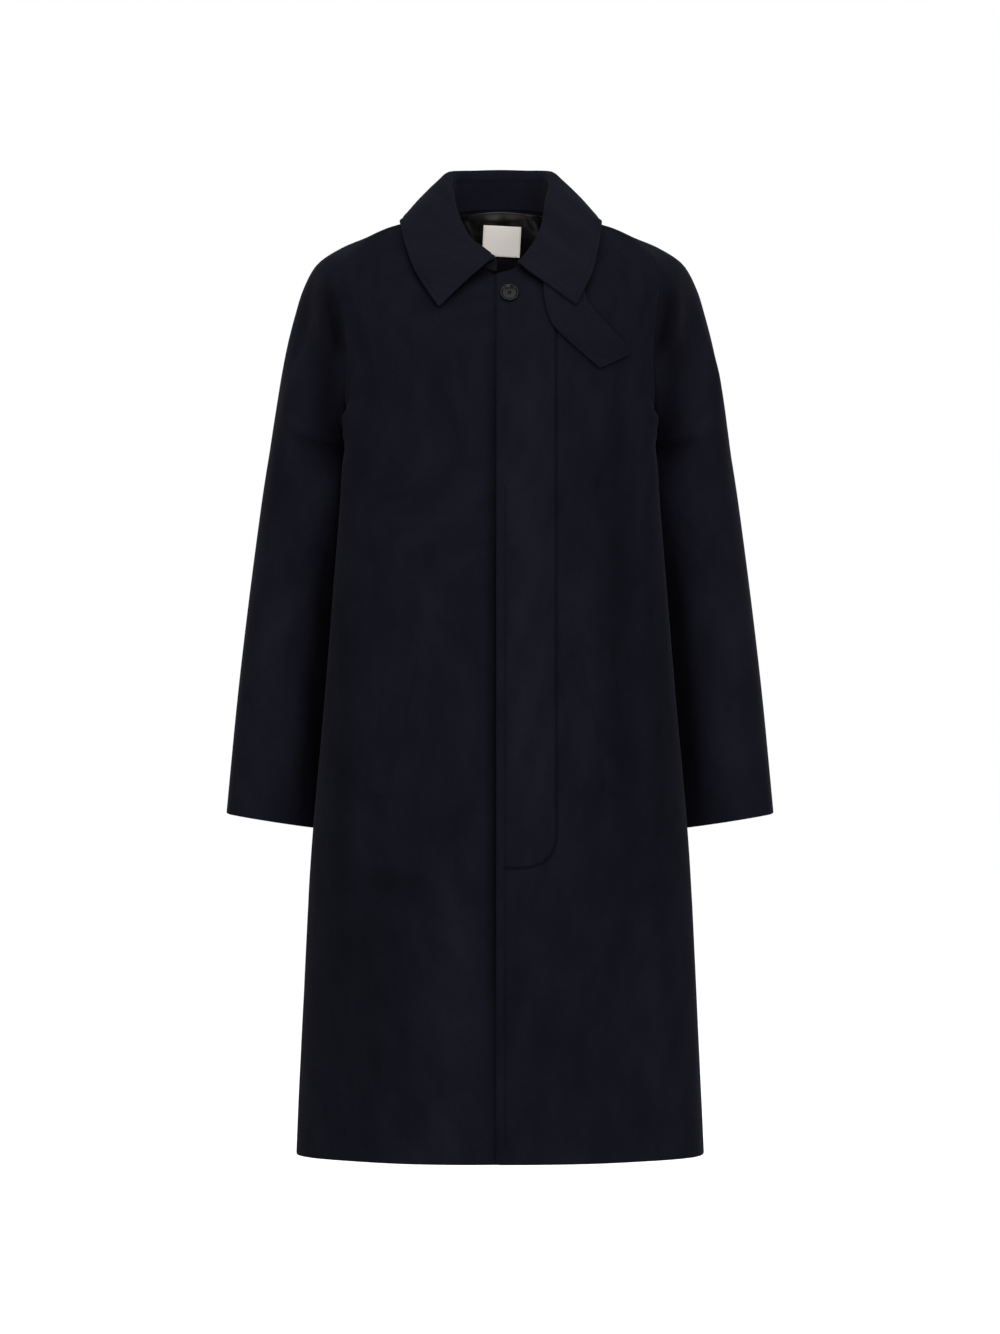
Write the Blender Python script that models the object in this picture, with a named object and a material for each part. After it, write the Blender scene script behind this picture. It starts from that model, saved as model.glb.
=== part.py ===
"""Balmacaan coat, filled out with no wearer.

The coat is one smooth form cut into the pieces that a maker sews: two fronts, a back, and
raglan sleeves in a front and a back half. Rows run across each panel from the neckline down to
the underarm, then on down the body to the hem and down each sleeve to the cuff. Every panel is
a wall thickened inward from those rows. The collar, tab, welts, button, lining and label are
set on or against the panels' own points.

All sizes are in millimetres and become metres when a mesh is made. +X is the wearer's left,
-Y the front and +Z up. The origin lies midway between the two side-neck points, on the
shoulders, where a wearer carries the coat.
"""
import bpy
import numpy as np
from mathutils import Vector
from mathutils.bvhtree import BVHTree

MM = 0.001

# Cloth and seams
CLOTH = 2.6
SEAM_GAP = 0.3
LAID_ON = 0.7

# Mesh: rows down the coat and columns across each panel
YOKE_ROWS = 12
BODY_ROWS = 13
SLEEVE_ROWS = 9
FRONT_COLUMNS = 9
BACK_COLUMNS = 10
SLEEVE_COLUMNS = 7
BEND_WEIGHT = 26.0
NECKLINE_SAMPLES = 400
SHARP_ANGLE = 50.0

# The fly's layers on the left front, and the right front that dips beneath them: where each
# change of level begins and how wide it is
FLY_WIDTH = 66.0
FLY_RAMP = 12.0
FLY_THICKNESS = 5.0
FLY_LIFT = 1.2
FLY_LIFT_ROWS = 2.0
UNDERLAP_START = 7.0
UNDERLAP_RAMP = 26.0

# Front edges: the first columns of each front, as distances from the centre line, which take at
# most this share of a short row. Rows carry on past the centre by this many mirrored points
LEFT_FRONT_STOPS = (-2.5, 20.0, 43.0, FLY_WIDTH, FLY_WIDTH + FLY_RAMP)
RIGHT_FRONT_STOPS = (-25.0, -9.0, UNDERLAP_START, 20.0, UNDERLAP_START + UNDERLAP_RAMP)
STOPS_SHARE = 0.62
PAST_CENTRE = 19

# Seam lines on the wearer's left, from the neckline to the underarm: x, y, z
FRONT_RAGLAN_SEAM = (
    (58, -28, -12), (89, -31, -13), (122, -33, -17), (156, -38, -33), (179, -54, -53),
    (189, -72, -75), (188, -83, -103), (184, -87, -138), (182, -84, -175), (184, -66, -225),
    (177, -34, -264), (168, 8, -285),
)
OVERARM_SEAM = (
    (64, 5, 0), (90, 3, -4), (122, 0, -11), (156, 0, -25), (192, 2, -40), (215, 4, -54),
    (231, 6, -76), (240, 8, -100), (254, 10, -150), (266, 12, -215), (277, 12, -285),
)
BACK_RAGLAN_SEAM = (
    (52, 50, 8), (85, 72, -8), (120, 92, -35), (150, 103, -72), (170, 106, -115),
    (178, 100, -165), (179, 82, -215), (175, 48, -262), (168, 8, -285),
)
CENTRE_FRONT = ((0, -92, -76), (0, -106, -105), (0, -121, -145), (0, -133, -205), (0, -138, -285))
CENTRE_BACK = ((0, 80, 14), (0, 97, -22), (0, 121, -95), (0, 136, -180), (0, 142, -285))

# Under the arm the body folds back into a tuck at the raglan seams: how far down the seams the
# tuck and the folds begin, and where the folds' lines start
TUCK_STARTS = 0.55
FOLD_STARTS = 0.80
FOLD_LINES_START = 0.70
FRONT_FOLD_TOP = (188, -84, -214)
BACK_FOLD_TOP = (184, 98, -214)
INTO_FRONT_TUCK = (-0.20, 0.98, 0)
OUT_OF_FRONT_TUCK = (0.50, -0.87, 0)
INTO_BACK_TUCK = (-0.50, -0.87, 0)
OUT_OF_BACK_TUCK = (0.12, 0.99, 0)
SLEEVE_TUCK_ENDS = 0.25

# How strongly rows round out of the centre on the yoke and on the body, into the folds under
# the arm, and round each seam, as shares of the distance each way
YOKE_ROUND = 0.45
BODY_ROUND = 0.62
FOLD_ROUND = 0.30
SEAM_ROUND = 0.40

# Panels whose directions agree more than this at a seam go on smoothly past it. At a seam each
# edge also sinks by a share of its distance from the seam
SEAM_AGREES = 0.35
SEAM_SINK = 0.6

# The rows round the underarm are drawn smooth, fading out toward the seams
RELAX_PASSES = 4
RELAX_ROWS = (YOKE_ROWS - 5, YOKE_ROWS + 3)
RELAX_FULL = 0.45
RELAX_FADE = 0.35

# Body from the underarm to the hem: height, centre-front y, front fold x and y, side seam
# x and y, back fold x and y, centre-back y
BODY = (
    (-285, -138, 185, -62, 168, 8, 178, 75, 142),
    (-460, -141, 199, -58, 173, 12, 192, 76, 143),
    (-600, -144, 210, -52, 184, 14, 204, 76, 144),
    (-735, -149, 221, -45, 198, 15, 217, 74, 147),
    (-900, -156, 230, -34, 219, 10, 228, 58, 153),
    (-1120, -166, 243, -18, 241, 2, 241, 26, 163),
)

# Sleeve from the underarm to the cuff: overarm seam x, y, z, underarm seam x, y, z, and how
# far the front and back halves round out
SLEEVE = (
    (277, 12, -285, 168, 8, -285, 112, 108),
    (286, 12, -341, 177, 15, -345, 100, 100),
    (302, 14, -461, 187, 23, -467, 92, 94),
    (316, 14, -581, 198, 30, -591, 82, 84),
    (329, 12, -716, 213, 38, -735, 66, 68),
)

# Soft flutes of the hanging cloth: place across the panel (0 at the centre), width, depth
# outward, and the heights between which they grow. They die out at the front edges and seams
FRONT_EDGE_STILL = 0.12
FRONT_EDGE_FADE = 0.14
SEAM_FADE = 0.16
FLUTES = {
    "front_left": ((0.50, 0.13, -6.0, -190, -620), (0.78, 0.10, 4.5, -420, -1000)),
    "front_right": ((0.24, 0.11, 4.0, -760, -1060), (0.55, 0.13, -6.0, -480, -1050),
                    (0.80, 0.09, 3.5, -420, -1000)),
    "back": ((0.20, 0.10, -5.0, -420, -1050), (0.45, 0.12, 6.0, -380, -1050),
             (0.70, 0.11, -6.0, -420, -1050)),
}

# Creases of the sleeves: place across the half sleeve (0 at its first seam), width, depth
# outward, and the heights where it starts, is deepest and ends
SLEEVE_CREASES = {
    "sleeve_left_front": ((0.50, 0.16, -5.0, -60, -170, -330), (0.72, 0.12, 4.0, -110, -190, -330),
                          (0.40, 0.20, -4.0, -420, -520, -650)),
    "sleeve_left_back": ((0.45, 0.16, -5.0, -70, -180, -340), (0.60, 0.20, -4.5, -430, -520, -640)),
    "sleeve_right_front": ((0.58, 0.15, -5.0, -60, -130, -260), (0.36, 0.13, 4.0, -110, -180, -300),
                           (0.46, 0.20, -4.0, -400, -500, -640)),
    "sleeve_right_back": ((0.50, 0.16, -5.0, -80, -190, -350), (0.55, 0.20, -4.5, -420, -530, -650)),
}

# Collar, from the centre back round to the front end: the seam that joins the stand and the
# fall, and the fall's outer edge: x, y, z
STAND_TOP = (
    (0, 84, 52), (31, 79, 51), (52, 60, 48.5), (60, 34, 42), (61, 6, 27), (57, -22, 7),
    (49.5, -48, -16.5), (35.5, -74, -44), (14, -91, -65),
)
FALL_EDGE = (
    (0, 110, -14), (50, 106, -15), (92, 84, -14), (116, 46, -10), (121, 2, -7),
    (120, -36, -17), (114.5, -72, -42), (104, -100, -76), (81, -118.5, -117.5),
)
COLLAR_END = 12.5
COLLAR_COLUMNS = 17
COLLAR_TO_LEFT = 9.0
TO_LEFT_POWER = 4
STAND_THICKNESS = 3.0
FALL_THICKNESS = 4.0
ROLL_RADIUS = 6.5
ROLL_RISE_BACK = 13.0
ROLL_RISE_FRONT = 9.0
ROLL_STEPS = 9
FALL_FULLNESS = 0.28
FALL_HANDLE = 0.4
ROLL_TO_LEAF = 9.0
LEAF_ROWS = 6
FALL_CLEAR = 1.0
LIFTED_FROM_ROW = 4
LIFT_PASSES = 6
LIFT_BESIDE = 0.5

# Throat tab under the left leaf, from its hidden top to its end: x and z of its lower edge, x
# and z of its upper edge
TAB = (
    (52.5, -83, 99.5, -78.5), (51.5, -99.5, 98.5, -95), (54, -118, 102, -111),
    (62, -140.5, 111, -124), (76, -155.5, 122, -136.5), (92.5, -170, 132.5, -147.5),
    (105.5, -181.5, 142, -159), (116.5, -190.5, 150.5, -173.5),
)
TAB_THICKNESS = 4.4
TAB_MARGIN = 11.0
TAB_COLUMNS = 6
TAB_ROWS = 12

# Neck button on the left front, and its turned profile from the middle of its back over the rim
# to the middle of its face: radius and height
BUTTON_X = 11.3
BUTTON_Z = -101.5
BUTTON_SIDES = 28
BUTTON_PROFILE = (
    (0.0, 0.0), (7.92, 0.0), (11.0, 1.71), (11.0, 2.736), (10.12, 3.8), (8.58, 3.8), (6.82, 2.8),
    (0.0, 2.8),
)

# Slanted pocket welts: middle line from its top to its bottom, width and thickness
WELT_TOP = (113.0, -521.0)
WELT_BOTTOM = (141.0, -691.0)
WELT_WIDTH = 33.0
WELT_THICKNESS = 1.8
WELT_COLUMNS = 3
WELT_ROWS = 8

# Pieces are laid on the front from a plane well before it, and the label from inside the neck
BEFORE_FRONT_Y = -400.0
INSIDE_NECK_Y = -40.0
STRIP_SMOOTH_PASSES = 3

# Lining across the inside of the back neck, and the bare label sewn to it
BACK_LINING_ROWS = 6
SLEEVE_LINING_ROWS = 3
LINING_THICKNESS = 0.8
LABEL_CENTRE = (2.0, -22.0)
LABEL_SIZE = (46.0, 36.0)
LABEL_THICKNESS = 0.6
LABEL_COLUMNS = 5
LABEL_ROWS = 3

LOOKS = {
    "melton": ((0.0075, 0.0082, 0.0125), 0.92),
    "satin": ((0.018, 0.015, 0.016), 0.38),
    "label": ((0.60, 0.57, 0.52), 0.75),
    "button": ((0.006, 0.006, 0.007), 0.25),
}


def clear_scene():
    for old in list(bpy.data.objects):
        bpy.data.objects.remove(old, do_unlink=True)


def look(name):
    colour, roughness = LOOKS[name]
    material = bpy.data.materials.get(name) or bpy.data.materials.new(name)
    material.use_nodes = True
    shader = material.node_tree.nodes["Principled BSDF"]
    shader.inputs["Base Color"].default_value = (*colour, 1.0)
    shader.inputs["Roughness"].default_value = roughness
    shader.inputs["Metallic"].default_value = 0.0
    return material


# Curves

def unit(vector):
    vector = np.asarray(vector, float)
    return vector / np.maximum(np.linalg.norm(vector, axis=-1, keepdims=True), 1e-9)


def smooth_step(value):
    value = np.clip(value, 0.0, 1.0)
    return value * value * (3.0 - 2.0 * value)


def through(knots, values, at):
    """A smooth curve through the values at the knots, read at one or more places."""
    knots = np.asarray(knots, float)
    values = np.asarray(values, float)
    at = np.atleast_1d(at)
    slopes = np.gradient(values, knots, axis=0)
    low = np.clip(np.searchsorted(knots, at, side="right") - 1, 0, len(knots) - 2)
    span = knots[low + 1] - knots[low]
    s = ((at - knots[low]) / span)[:, None]
    span = span[:, None]
    return ((2 * s**3 - 3 * s**2 + 1) * values[low] + (s**3 - 2 * s**2 + s) * span * slopes[low]
            + (3 * s**2 - 2 * s**3) * values[low + 1] + (s**3 - s**2) * span * slopes[low + 1])


def lengths(points):
    steps = np.linalg.norm(np.diff(points, axis=0), axis=1)
    return np.concatenate(([0.0], np.cumsum(steps)))


def smooth_line(points, samples=240):
    points = np.asarray(points, float)
    knots = lengths(points)
    return through(knots, points, np.linspace(0.0, knots[-1], samples))


def places_along(line, fractions):
    along = lengths(line)
    wanted = np.atleast_1d(fractions) * along[-1]
    return np.stack([np.interp(wanted, along, line[:, axis]) for axis in range(3)], axis=1)


def bend(start, start_way, start_reach, end, end_way, end_reach, samples=40):
    """A cubic that leaves the start one way and reaches the end another."""
    start, end = np.asarray(start, float), np.asarray(end, float)
    a = start + unit(start_way) * start_reach
    b = end - unit(end_way) * end_reach
    t = np.linspace(0.0, 1.0, samples)[:, None]
    return (1 - t)**3 * start + 3 * t * (1 - t)**2 * a + 3 * t * t * (1 - t) * b + t**3 * end


def reach_along(start, end, way, share):
    return share * abs(float(np.dot(np.subtract(end, start), unit(way))))


def quarter(start, start_way, end, end_way, share, end_share=None):
    """A rounded quarter turn whose handles follow the distance each way."""
    return bend(start, start_way, reach_along(start, end, start_way, share),
                end, end_way, reach_along(start, end, end_way, end_share or share))


def joined(*pieces):
    line = pieces[0]
    for piece in pieces[1:]:
        line = np.vstack((line, piece[1:]))
    return line


def spaced(line, columns):
    """Points along a row, closer together where it bends."""
    keep = np.concatenate(([True], np.linalg.norm(np.diff(line, axis=0), axis=1) > 1e-6))
    line = line[keep]
    ways = unit(np.diff(line, axis=0))
    turn = np.arccos(np.clip(np.sum(ways[1:] * ways[:-1], axis=1), -1.0, 1.0))
    weight = np.linalg.norm(np.diff(line, axis=0), axis=1)
    weight[:-1] += BEND_WEIGHT * turn / 2
    weight[1:] += BEND_WEIGHT * turn / 2
    along = np.concatenate(([0.0], np.cumsum(weight)))
    wanted = np.linspace(0.0, along[-1], columns + 1)
    return np.stack([np.interp(wanted, along, line[:, axis]) for axis in range(3)], axis=1)


# Rows of the coat's left half. The right half is its mirror image

FRONT_SEAM = smooth_line(FRONT_RAGLAN_SEAM)
OVERARM = smooth_line(OVERARM_SEAM)
BACK_SEAM = smooth_line(BACK_RAGLAN_SEAM)
FRONT_MIDDLE = smooth_line(CENTRE_FRONT)
BACK_MIDDLE = smooth_line(CENTRE_BACK)


def body_sizes(height):
    table = np.array(BODY, float)
    return through(-table[:, 0], table[:, 1:], -height)[0]


def body_row(height):
    front_y, fold_x, fold_y, side_x, side_y, back_x, back_fold_y, back_y = body_sizes(height)
    middle = (0, front_y, height)
    fold = (fold_x, fold_y, height)
    side = (side_x, side_y, height)
    back_fold = (back_x, back_fold_y, height)
    back_middle = (0, back_y, height)
    right, left, backward = (1, 0, 0), (-1, 0, 0), (0, 1, 0)
    front = joined(quarter(middle, right, fold, backward, BODY_ROUND),
                   quarter(fold, backward, side, backward, SEAM_ROUND))
    back = joined(quarter(side, backward, back_fold, backward, SEAM_ROUND),
                  quarter(back_fold, backward, back_middle, left, BODY_ROUND))
    return front, back


def yoke_row(share):
    """One row from the centre front over the shoulder to the centre back."""
    front_middle, front_seam, overarm, back_seam, back_middle = (
        places_along(line, share)[0]
        for line in (FRONT_MIDDLE, FRONT_SEAM, OVERARM, BACK_SEAM, BACK_MIDDLE))
    tuck = smooth_step((share - TUCK_STARTS) / (1.0 - TUCK_STARTS))
    over_front = unit(unit(front_seam - front_middle) + unit(overarm - front_seam))
    over_back = unit(unit(back_seam - overarm) + unit(back_middle - back_seam))
    into_front = unit((1 - tuck) * over_front + tuck * np.array(INTO_FRONT_TUCK))
    out_of_front = unit((1 - tuck) * over_front + tuck * np.array(OUT_OF_FRONT_TUCK))
    into_back = unit((1 - tuck) * over_back + tuck * np.array(INTO_BACK_TUCK))
    out_of_back = unit((1 - tuck) * over_back + tuck * np.array(OUT_OF_BACK_TUCK))
    right, left, backward = (1, 0, 0), (-1, 0, 0), (0, 1, 0)
    if share > FOLD_STARTS:
        down = (share - FOLD_LINES_START) / (1.0 - FOLD_LINES_START)
        fold = between(FRONT_FOLD_TOP, (BODY[0][2], BODY[0][3], BODY[0][0]), down)
        back_fold = between(BACK_FOLD_TOP, (BODY[0][6], BODY[0][7], BODY[0][0]), down)
        way = unit((1 - down) * over_front + down * np.array(backward))
        back_way = unit((1 - down) * over_back + down * np.array(backward))
        middle_round = YOKE_ROUND + (BODY_ROUND - YOKE_ROUND) * down
        fold_round = FOLD_ROUND + (BODY_ROUND - FOLD_ROUND) * down
        front = joined(quarter(front_middle, right, fold, way, middle_round, fold_round),
                       quarter(fold, way, front_seam, into_front, SEAM_ROUND))
        back = joined(quarter(back_seam, out_of_back, back_fold, back_way, SEAM_ROUND),
                      quarter(back_fold, back_way, back_middle, left, fold_round, middle_round))
    else:
        front = quarter(front_middle, right, front_seam, into_front, YOKE_ROUND)
        back = quarter(back_seam, out_of_back, back_middle, left, YOKE_ROUND)

    def reach(start, end, way, tucked):
        return (1 - tuck) * reach_along(start, end, way, SEAM_ROUND) + tuck * tucked

    front_round, back_round = SLEEVE[0][6], SLEEVE[0][7]
    fore = bend(front_seam, out_of_front, reach(front_seam, overarm, out_of_front, front_round),
                overarm, backward, reach(front_seam, overarm, backward, front_round))
    aft = bend(overarm, backward, reach(overarm, back_seam, backward, back_round),
               back_seam, into_back, reach(overarm, back_seam, into_back, back_round))
    return front, fore, aft, back


def between(start, end, share):
    return (1 - share) * np.array(start, float) + share * np.array(end, float)


def sleeve_row(share):
    table = np.array(SLEEVE, float)
    knots = np.linspace(0.0, 1.0, len(table))
    row = through(knots, table, share)[0]
    overarm, underarm, front_round, back_round = row[:3], row[3:6], row[6], row[7]
    rounding = smooth_step(share / SLEEVE_TUCK_ENDS)
    fore_way = unit((1 - rounding) * np.array(OUT_OF_FRONT_TUCK) + rounding * np.array((0, -1, 0)))
    aft_way = unit((1 - rounding) * np.array(INTO_BACK_TUCK) + rounding * np.array((0, -1, 0)))
    fore = bend(underarm, fore_way, front_round, overarm, (0, 1, 0), front_round)
    aft = bend(overarm, (0, 1, 0), back_round, underarm, aft_way, back_round)
    return fore, aft


def front_points(line, stops):
    """A front row: its first columns at set distances from the centre, the rest spaced evenly."""
    mirrored = line[1:PAST_CENTRE + 1][::-1] * np.array((-1.0, 1.0, 1.0))
    whole = np.vstack((mirrored, line))
    along = lengths(whole) - lengths(mirrored)[-1] - np.linalg.norm(line[0] - mirrored[-1])
    stops = np.array(stops) * min(1.0, STOPS_SHARE * along[-1] / stops[-1])
    stops[0] = max(stops[0], along[0])
    first = np.stack([np.interp(stops, along, whole[:, axis]) for axis in range(3)], axis=1)
    rest = np.vstack((first[-1], whole[along > stops[-1] + 0.01]))
    return np.vstack((first[:-1], spaced(rest, FRONT_COLUMNS)))


def panel_grids():
    """Outer points of the panels: rows down, columns round from the front to the back."""
    fronts = {LEFT_FRONT_STOPS: [], RIGHT_FRONT_STOPS: []}
    fore_rows, aft_rows, back_rows = [], [], []
    for k in range(YOKE_ROWS + 1):
        front, fore, aft, back = yoke_row(k / YOKE_ROWS)
        for stops, rows in fronts.items():
            rows.append(front_points(front, stops))
        fore_rows.append(spaced(fore, SLEEVE_COLUMNS))
        aft_rows.append(spaced(aft, SLEEVE_COLUMNS))
        back_rows.append(spaced(back, BACK_COLUMNS))
    for height in np.linspace(BODY[0][0], BODY[-1][0], BODY_ROWS + 1)[1:]:
        front, back = body_row(height)
        for stops, rows in fronts.items():
            rows.append(front_points(front, stops))
        back_rows.append(spaced(back, BACK_COLUMNS))
    for share in np.linspace(0.0, 1.0, SLEEVE_ROWS + 1)[1:]:
        fore, aft = sleeve_row(share)
        fore_rows.append(spaced(fore, SLEEVE_COLUMNS))
        aft_rows.append(spaced(aft, SLEEVE_COLUMNS))
    half_back = np.array(back_rows)
    mirrored = (half_back * np.array((-1.0, 1.0, 1.0)))[:, ::-1]
    return {
        "front_left": np.array(fronts[LEFT_FRONT_STOPS]),
        "front_right": np.array(fronts[RIGHT_FRONT_STOPS]),
        "back": np.concatenate((half_back, mirrored[:, 1:]), axis=1),
        "sleeve_left_front": np.array(fore_rows),
        "sleeve_left_back": np.array(aft_rows),
        "sleeve_right_front": np.array(fore_rows),
        "sleeve_right_back": np.array(aft_rows),
    }


# Drape

def bump(across, place, width):
    return np.exp(-((across - place) / width) ** 2)


def share_round(grid):
    """How far round its row each point lies, from 0 at the centre to 1 at the last seam."""
    steps = np.linalg.norm(np.diff(grid, axis=1), axis=-1)
    along = np.concatenate((np.zeros((grid.shape[0], 1)), np.cumsum(steps, axis=1)), axis=1)
    before_centre = np.maximum(-grid[:, :1, 0], 0.0)
    return (along - before_centre) / (along[:, -1:] - before_centre)


def share_across(name, grid):
    across = share_round(grid)
    return np.abs(2.0 * across - 1.0) if name == "back" else across


def drape(name, grid, normals):
    height = grid[..., 2]
    out = np.zeros(height.shape)
    across = share_across(name, grid)
    still = smooth_step((1.0 - across) / SEAM_FADE)
    if name.startswith("front"):
        still = still * smooth_step((across - FRONT_EDGE_STILL) / FRONT_EDGE_FADE)
    elif name.startswith("sleeve"):
        still = still * smooth_step(across / SEAM_FADE)
    for place, width, depth, top, full in FLUTES.get(name, ()):
        grown = smooth_step((top - height) / (top - full))
        out += depth * bump(across, place, width) * grown * still
    for place, width, depth, top, deepest, end in SLEEVE_CREASES.get(name, ()):
        rise = smooth_step((top - height) / (top - deepest))
        fade = smooth_step((height - end) / (deepest - end))
        out += depth * bump(across, place, width) * rise * fade * still
    return grid + normals * out[..., None]


# Walls

def grid_normals(grid):
    """Outward directions of a grid whose rows run down and whose columns run front to back."""
    down = unit(np.gradient(grid, axis=0))
    across = unit(np.gradient(grid, axis=1))
    return unit(np.cross(down, across))


def share_normals(first, first_places, second, second_places):
    """Panels that go on smoothly past a seam turn the same way there; at a tuck each keeps its own."""
    a, b = first[first_places], second[second_places]
    agree = np.sum(a * b, axis=-1, keepdims=True) > SEAM_AGREES
    both = unit(a + b)
    first[first_places] = np.where(agree, both, a)
    second[second_places] = np.where(agree, both, b)


def seam_normals(normals):
    top = slice(0, YOKE_ROWS)
    below = slice(YOKE_ROWS, None)
    for side, edge in (("left", 0), ("right", -1)):
        front, fore = normals[f"front_{side}"], normals[f"sleeve_{side}_front"]
        aft, back = normals[f"sleeve_{side}_back"], normals["back"]
        share_normals(front, (top, -1), fore, (top, 0))
        share_normals(aft, (top, -1), back, (top, edge))
        share_normals(fore, (slice(None), -1), aft, (slice(None), 0))
        share_normals(front, (below, -1), back, (below, edge))
        share_normals(fore, (below, 0), aft, (below, -1))


def drawn_in(grid, normals, amount, edges):
    """The grid with its sewn edges drawn back from the seam, and a little inward."""
    result = grid.copy()
    sides = {"top": (0, slice(None)), "bottom": (-1, slice(None)),
             "first": (slice(None), 0), "last": (slice(None), -1)}
    inner = {"top": (1, slice(None)), "bottom": (-2, slice(None)),
             "first": (slice(None), 1), "last": (slice(None), -2)}
    for edge in edges:
        line = grid[sides[edge]]
        along = unit(np.gradient(line, axis=0))
        across = unit(np.cross(normals[sides[edge]], along))
        toward = np.sum(across * (grid[inner[edge]] - line), axis=-1, keepdims=True)
        result[sides[edge]] += np.sign(toward) * across * amount
        result[sides[edge]] -= normals[sides[edge]] * amount * SEAM_SINK
    return result


def hollow_split(points, corners):
    """The two triangles of a twisted rim face that never bulge toward the piece beyond it."""
    a, b, c, d = corners
    way = np.cross(points[b] - points[a], points[c] - points[a])
    if np.dot(points[d] - points[a], way) >= 0.0:
        return (a, b, c), (a, c, d)
    return (a, b, d), (b, c, d)


def wall(name, outer, inner, material, mirrored=False):
    """A closed wall between an outer and an inner grid of points."""
    outer, inner = np.array(outer, float), np.array(inner, float)
    rows, columns = outer.shape[:2]
    if mirrored:
        outer = outer * np.array((-1.0, 1.0, 1.0))
        inner = inner * np.array((-1.0, 1.0, 1.0))
    points = np.concatenate((outer.reshape(-1, 3), inner.reshape(-1, 3)))
    number = np.arange(rows * columns).reshape(rows, columns)
    under = number + rows * columns
    faces = []
    for r in range(rows - 1):
        for c in range(columns - 1):
            faces.append((number[r, c], number[r + 1, c], number[r + 1, c + 1]))
            faces.append((number[r, c], number[r + 1, c + 1], number[r, c + 1]))
            faces.append((under[r, c], under[r + 1, c + 1], under[r + 1, c]))
            faces.append((under[r, c], under[r, c + 1], under[r + 1, c + 1]))
    rims = []
    for r in range(rows - 1):
        rims.append((number[r, 0], under[r, 0], under[r + 1, 0], number[r + 1, 0]))
        rims.append((number[r + 1, -1], under[r + 1, -1], under[r, -1], number[r, -1]))
    for c in range(columns - 1):
        rims.append((number[0, c + 1], under[0, c + 1], under[0, c], number[0, c]))
        rims.append((number[-1, c], under[-1, c], under[-1, c + 1], number[-1, c + 1]))
    for rim in rims:
        faces.extend(hollow_split(-points if mirrored else points, rim))
    if mirrored:
        faces = [face[::-1] for face in faces]
    add_object(name, points * MM, faces, material)


def add_object(name, points, faces, material):
    mesh = bpy.data.meshes.new(name)
    mesh.from_pydata([tuple(p) for p in points], [], [tuple(int(i) for i in f) for f in faces])
    mesh.materials.append(look(material))
    mesh.validate()
    mesh.shade_smooth()
    mesh.set_sharp_from_angle(angle=np.radians(SHARP_ANGLE))
    piece = bpy.data.objects.new(name, mesh)
    bpy.context.scene.collection.objects.link(piece)


def front_layers(grid, normals, left):
    """The fly's layers thicken the left front's edge, and the right front's lies beneath it."""
    x = grid[..., 0]
    grown = smooth_step(np.arange(grid.shape[0])[:, None] / FLY_LIFT_ROWS)
    if left:
        fly = 1.0 - smooth_step((x - FLY_WIDTH) / FLY_RAMP)
        outer = grid + normals * (FLY_LIFT * fly * grown)[..., None]
        thickness = CLOTH + (FLY_THICKNESS - CLOTH) * fly
    else:
        under = 1.0 - smooth_step((x - UNDERLAP_START) / UNDERLAP_RAMP)
        sunk = (FLY_THICKNESS - FLY_LIFT * grown + LAID_ON) * under
        outer = grid - normals * sunk[..., None]
        thickness = np.full(x.shape, CLOTH)
    return outer, outer - normals * thickness[..., None]


def relaxed(grid, across):
    """The cloth drawn half way to smooth across the underarm rows, again and again."""
    grid = grid.copy()
    first_row, last_row = RELAX_ROWS
    rows = slice(first_row, last_row + 1)
    free = (1.0 - smooth_step((across[rows] - RELAX_FULL) / RELAX_FADE))[..., None]
    for _ in range(RELAX_PASSES):
        middle = 0.5 * (grid[first_row - 1:last_row] + grid[first_row + 1:last_row + 2])
        grid[rows] += 0.5 * free * (middle - grid[rows])
    return grid


def body_panels():
    grids = panel_grids()
    for name in ("front_left", "front_right", "back"):
        across = share_across(name, grids[name])
        grids[name] = relaxed(grids[name], across)
    normals = {name: grid_normals(grid) for name, grid in grids.items()}
    seam_normals(normals)
    shells = {}
    for name, grid in grids.items():
        draped = drape(name, grid, normals[name])
        edges = ("last",) if name.startswith("front") else ("first", "last")
        outer = drawn_in(draped, normals[name], SEAM_GAP / 2, edges)
        if name.startswith("front"):
            outer, inner = front_layers(outer, normals[name], name == "front_left")
        else:
            inner = outer - normals[name] * CLOTH
        mirrored = "right" in name
        wall(name, outer, inner, "melton", mirrored)
        shells[name] = (outer, inner, normals[name])
    return shells


# Pieces set on the panels

def tree_of(*grids):
    """A surface to measure from, made of the outer points of panels."""
    points, faces = [], []
    for grid in grids:
        rows, columns = grid.shape[:2]
        first = len(points)
        points.extend(Vector(p) for p in grid.reshape(-1, 3))
        for r in range(rows - 1):
            for c in range(columns - 1):
                a = first + r * columns + c
                faces.append((a, a + columns, a + columns + 1))
                faces.append((a, a + columns + 1, a + 1))
    return BVHTree.FromPolygons(points, faces)


def mirror(grid):
    return grid[:, ::-1] * np.array((-1.0, 1.0, 1.0))


def on_front(tree, x, z):
    """The point of the front's outer surface seen at x and z, and its outward direction."""
    place, normal, _, _ = tree.ray_cast(Vector((x, BEFORE_FRONT_Y, z)), Vector((0.0, 1.0, 0.0)))
    normal = np.array(normal)
    return np.array(place), normal if normal[1] < 0 else -normal


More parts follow.
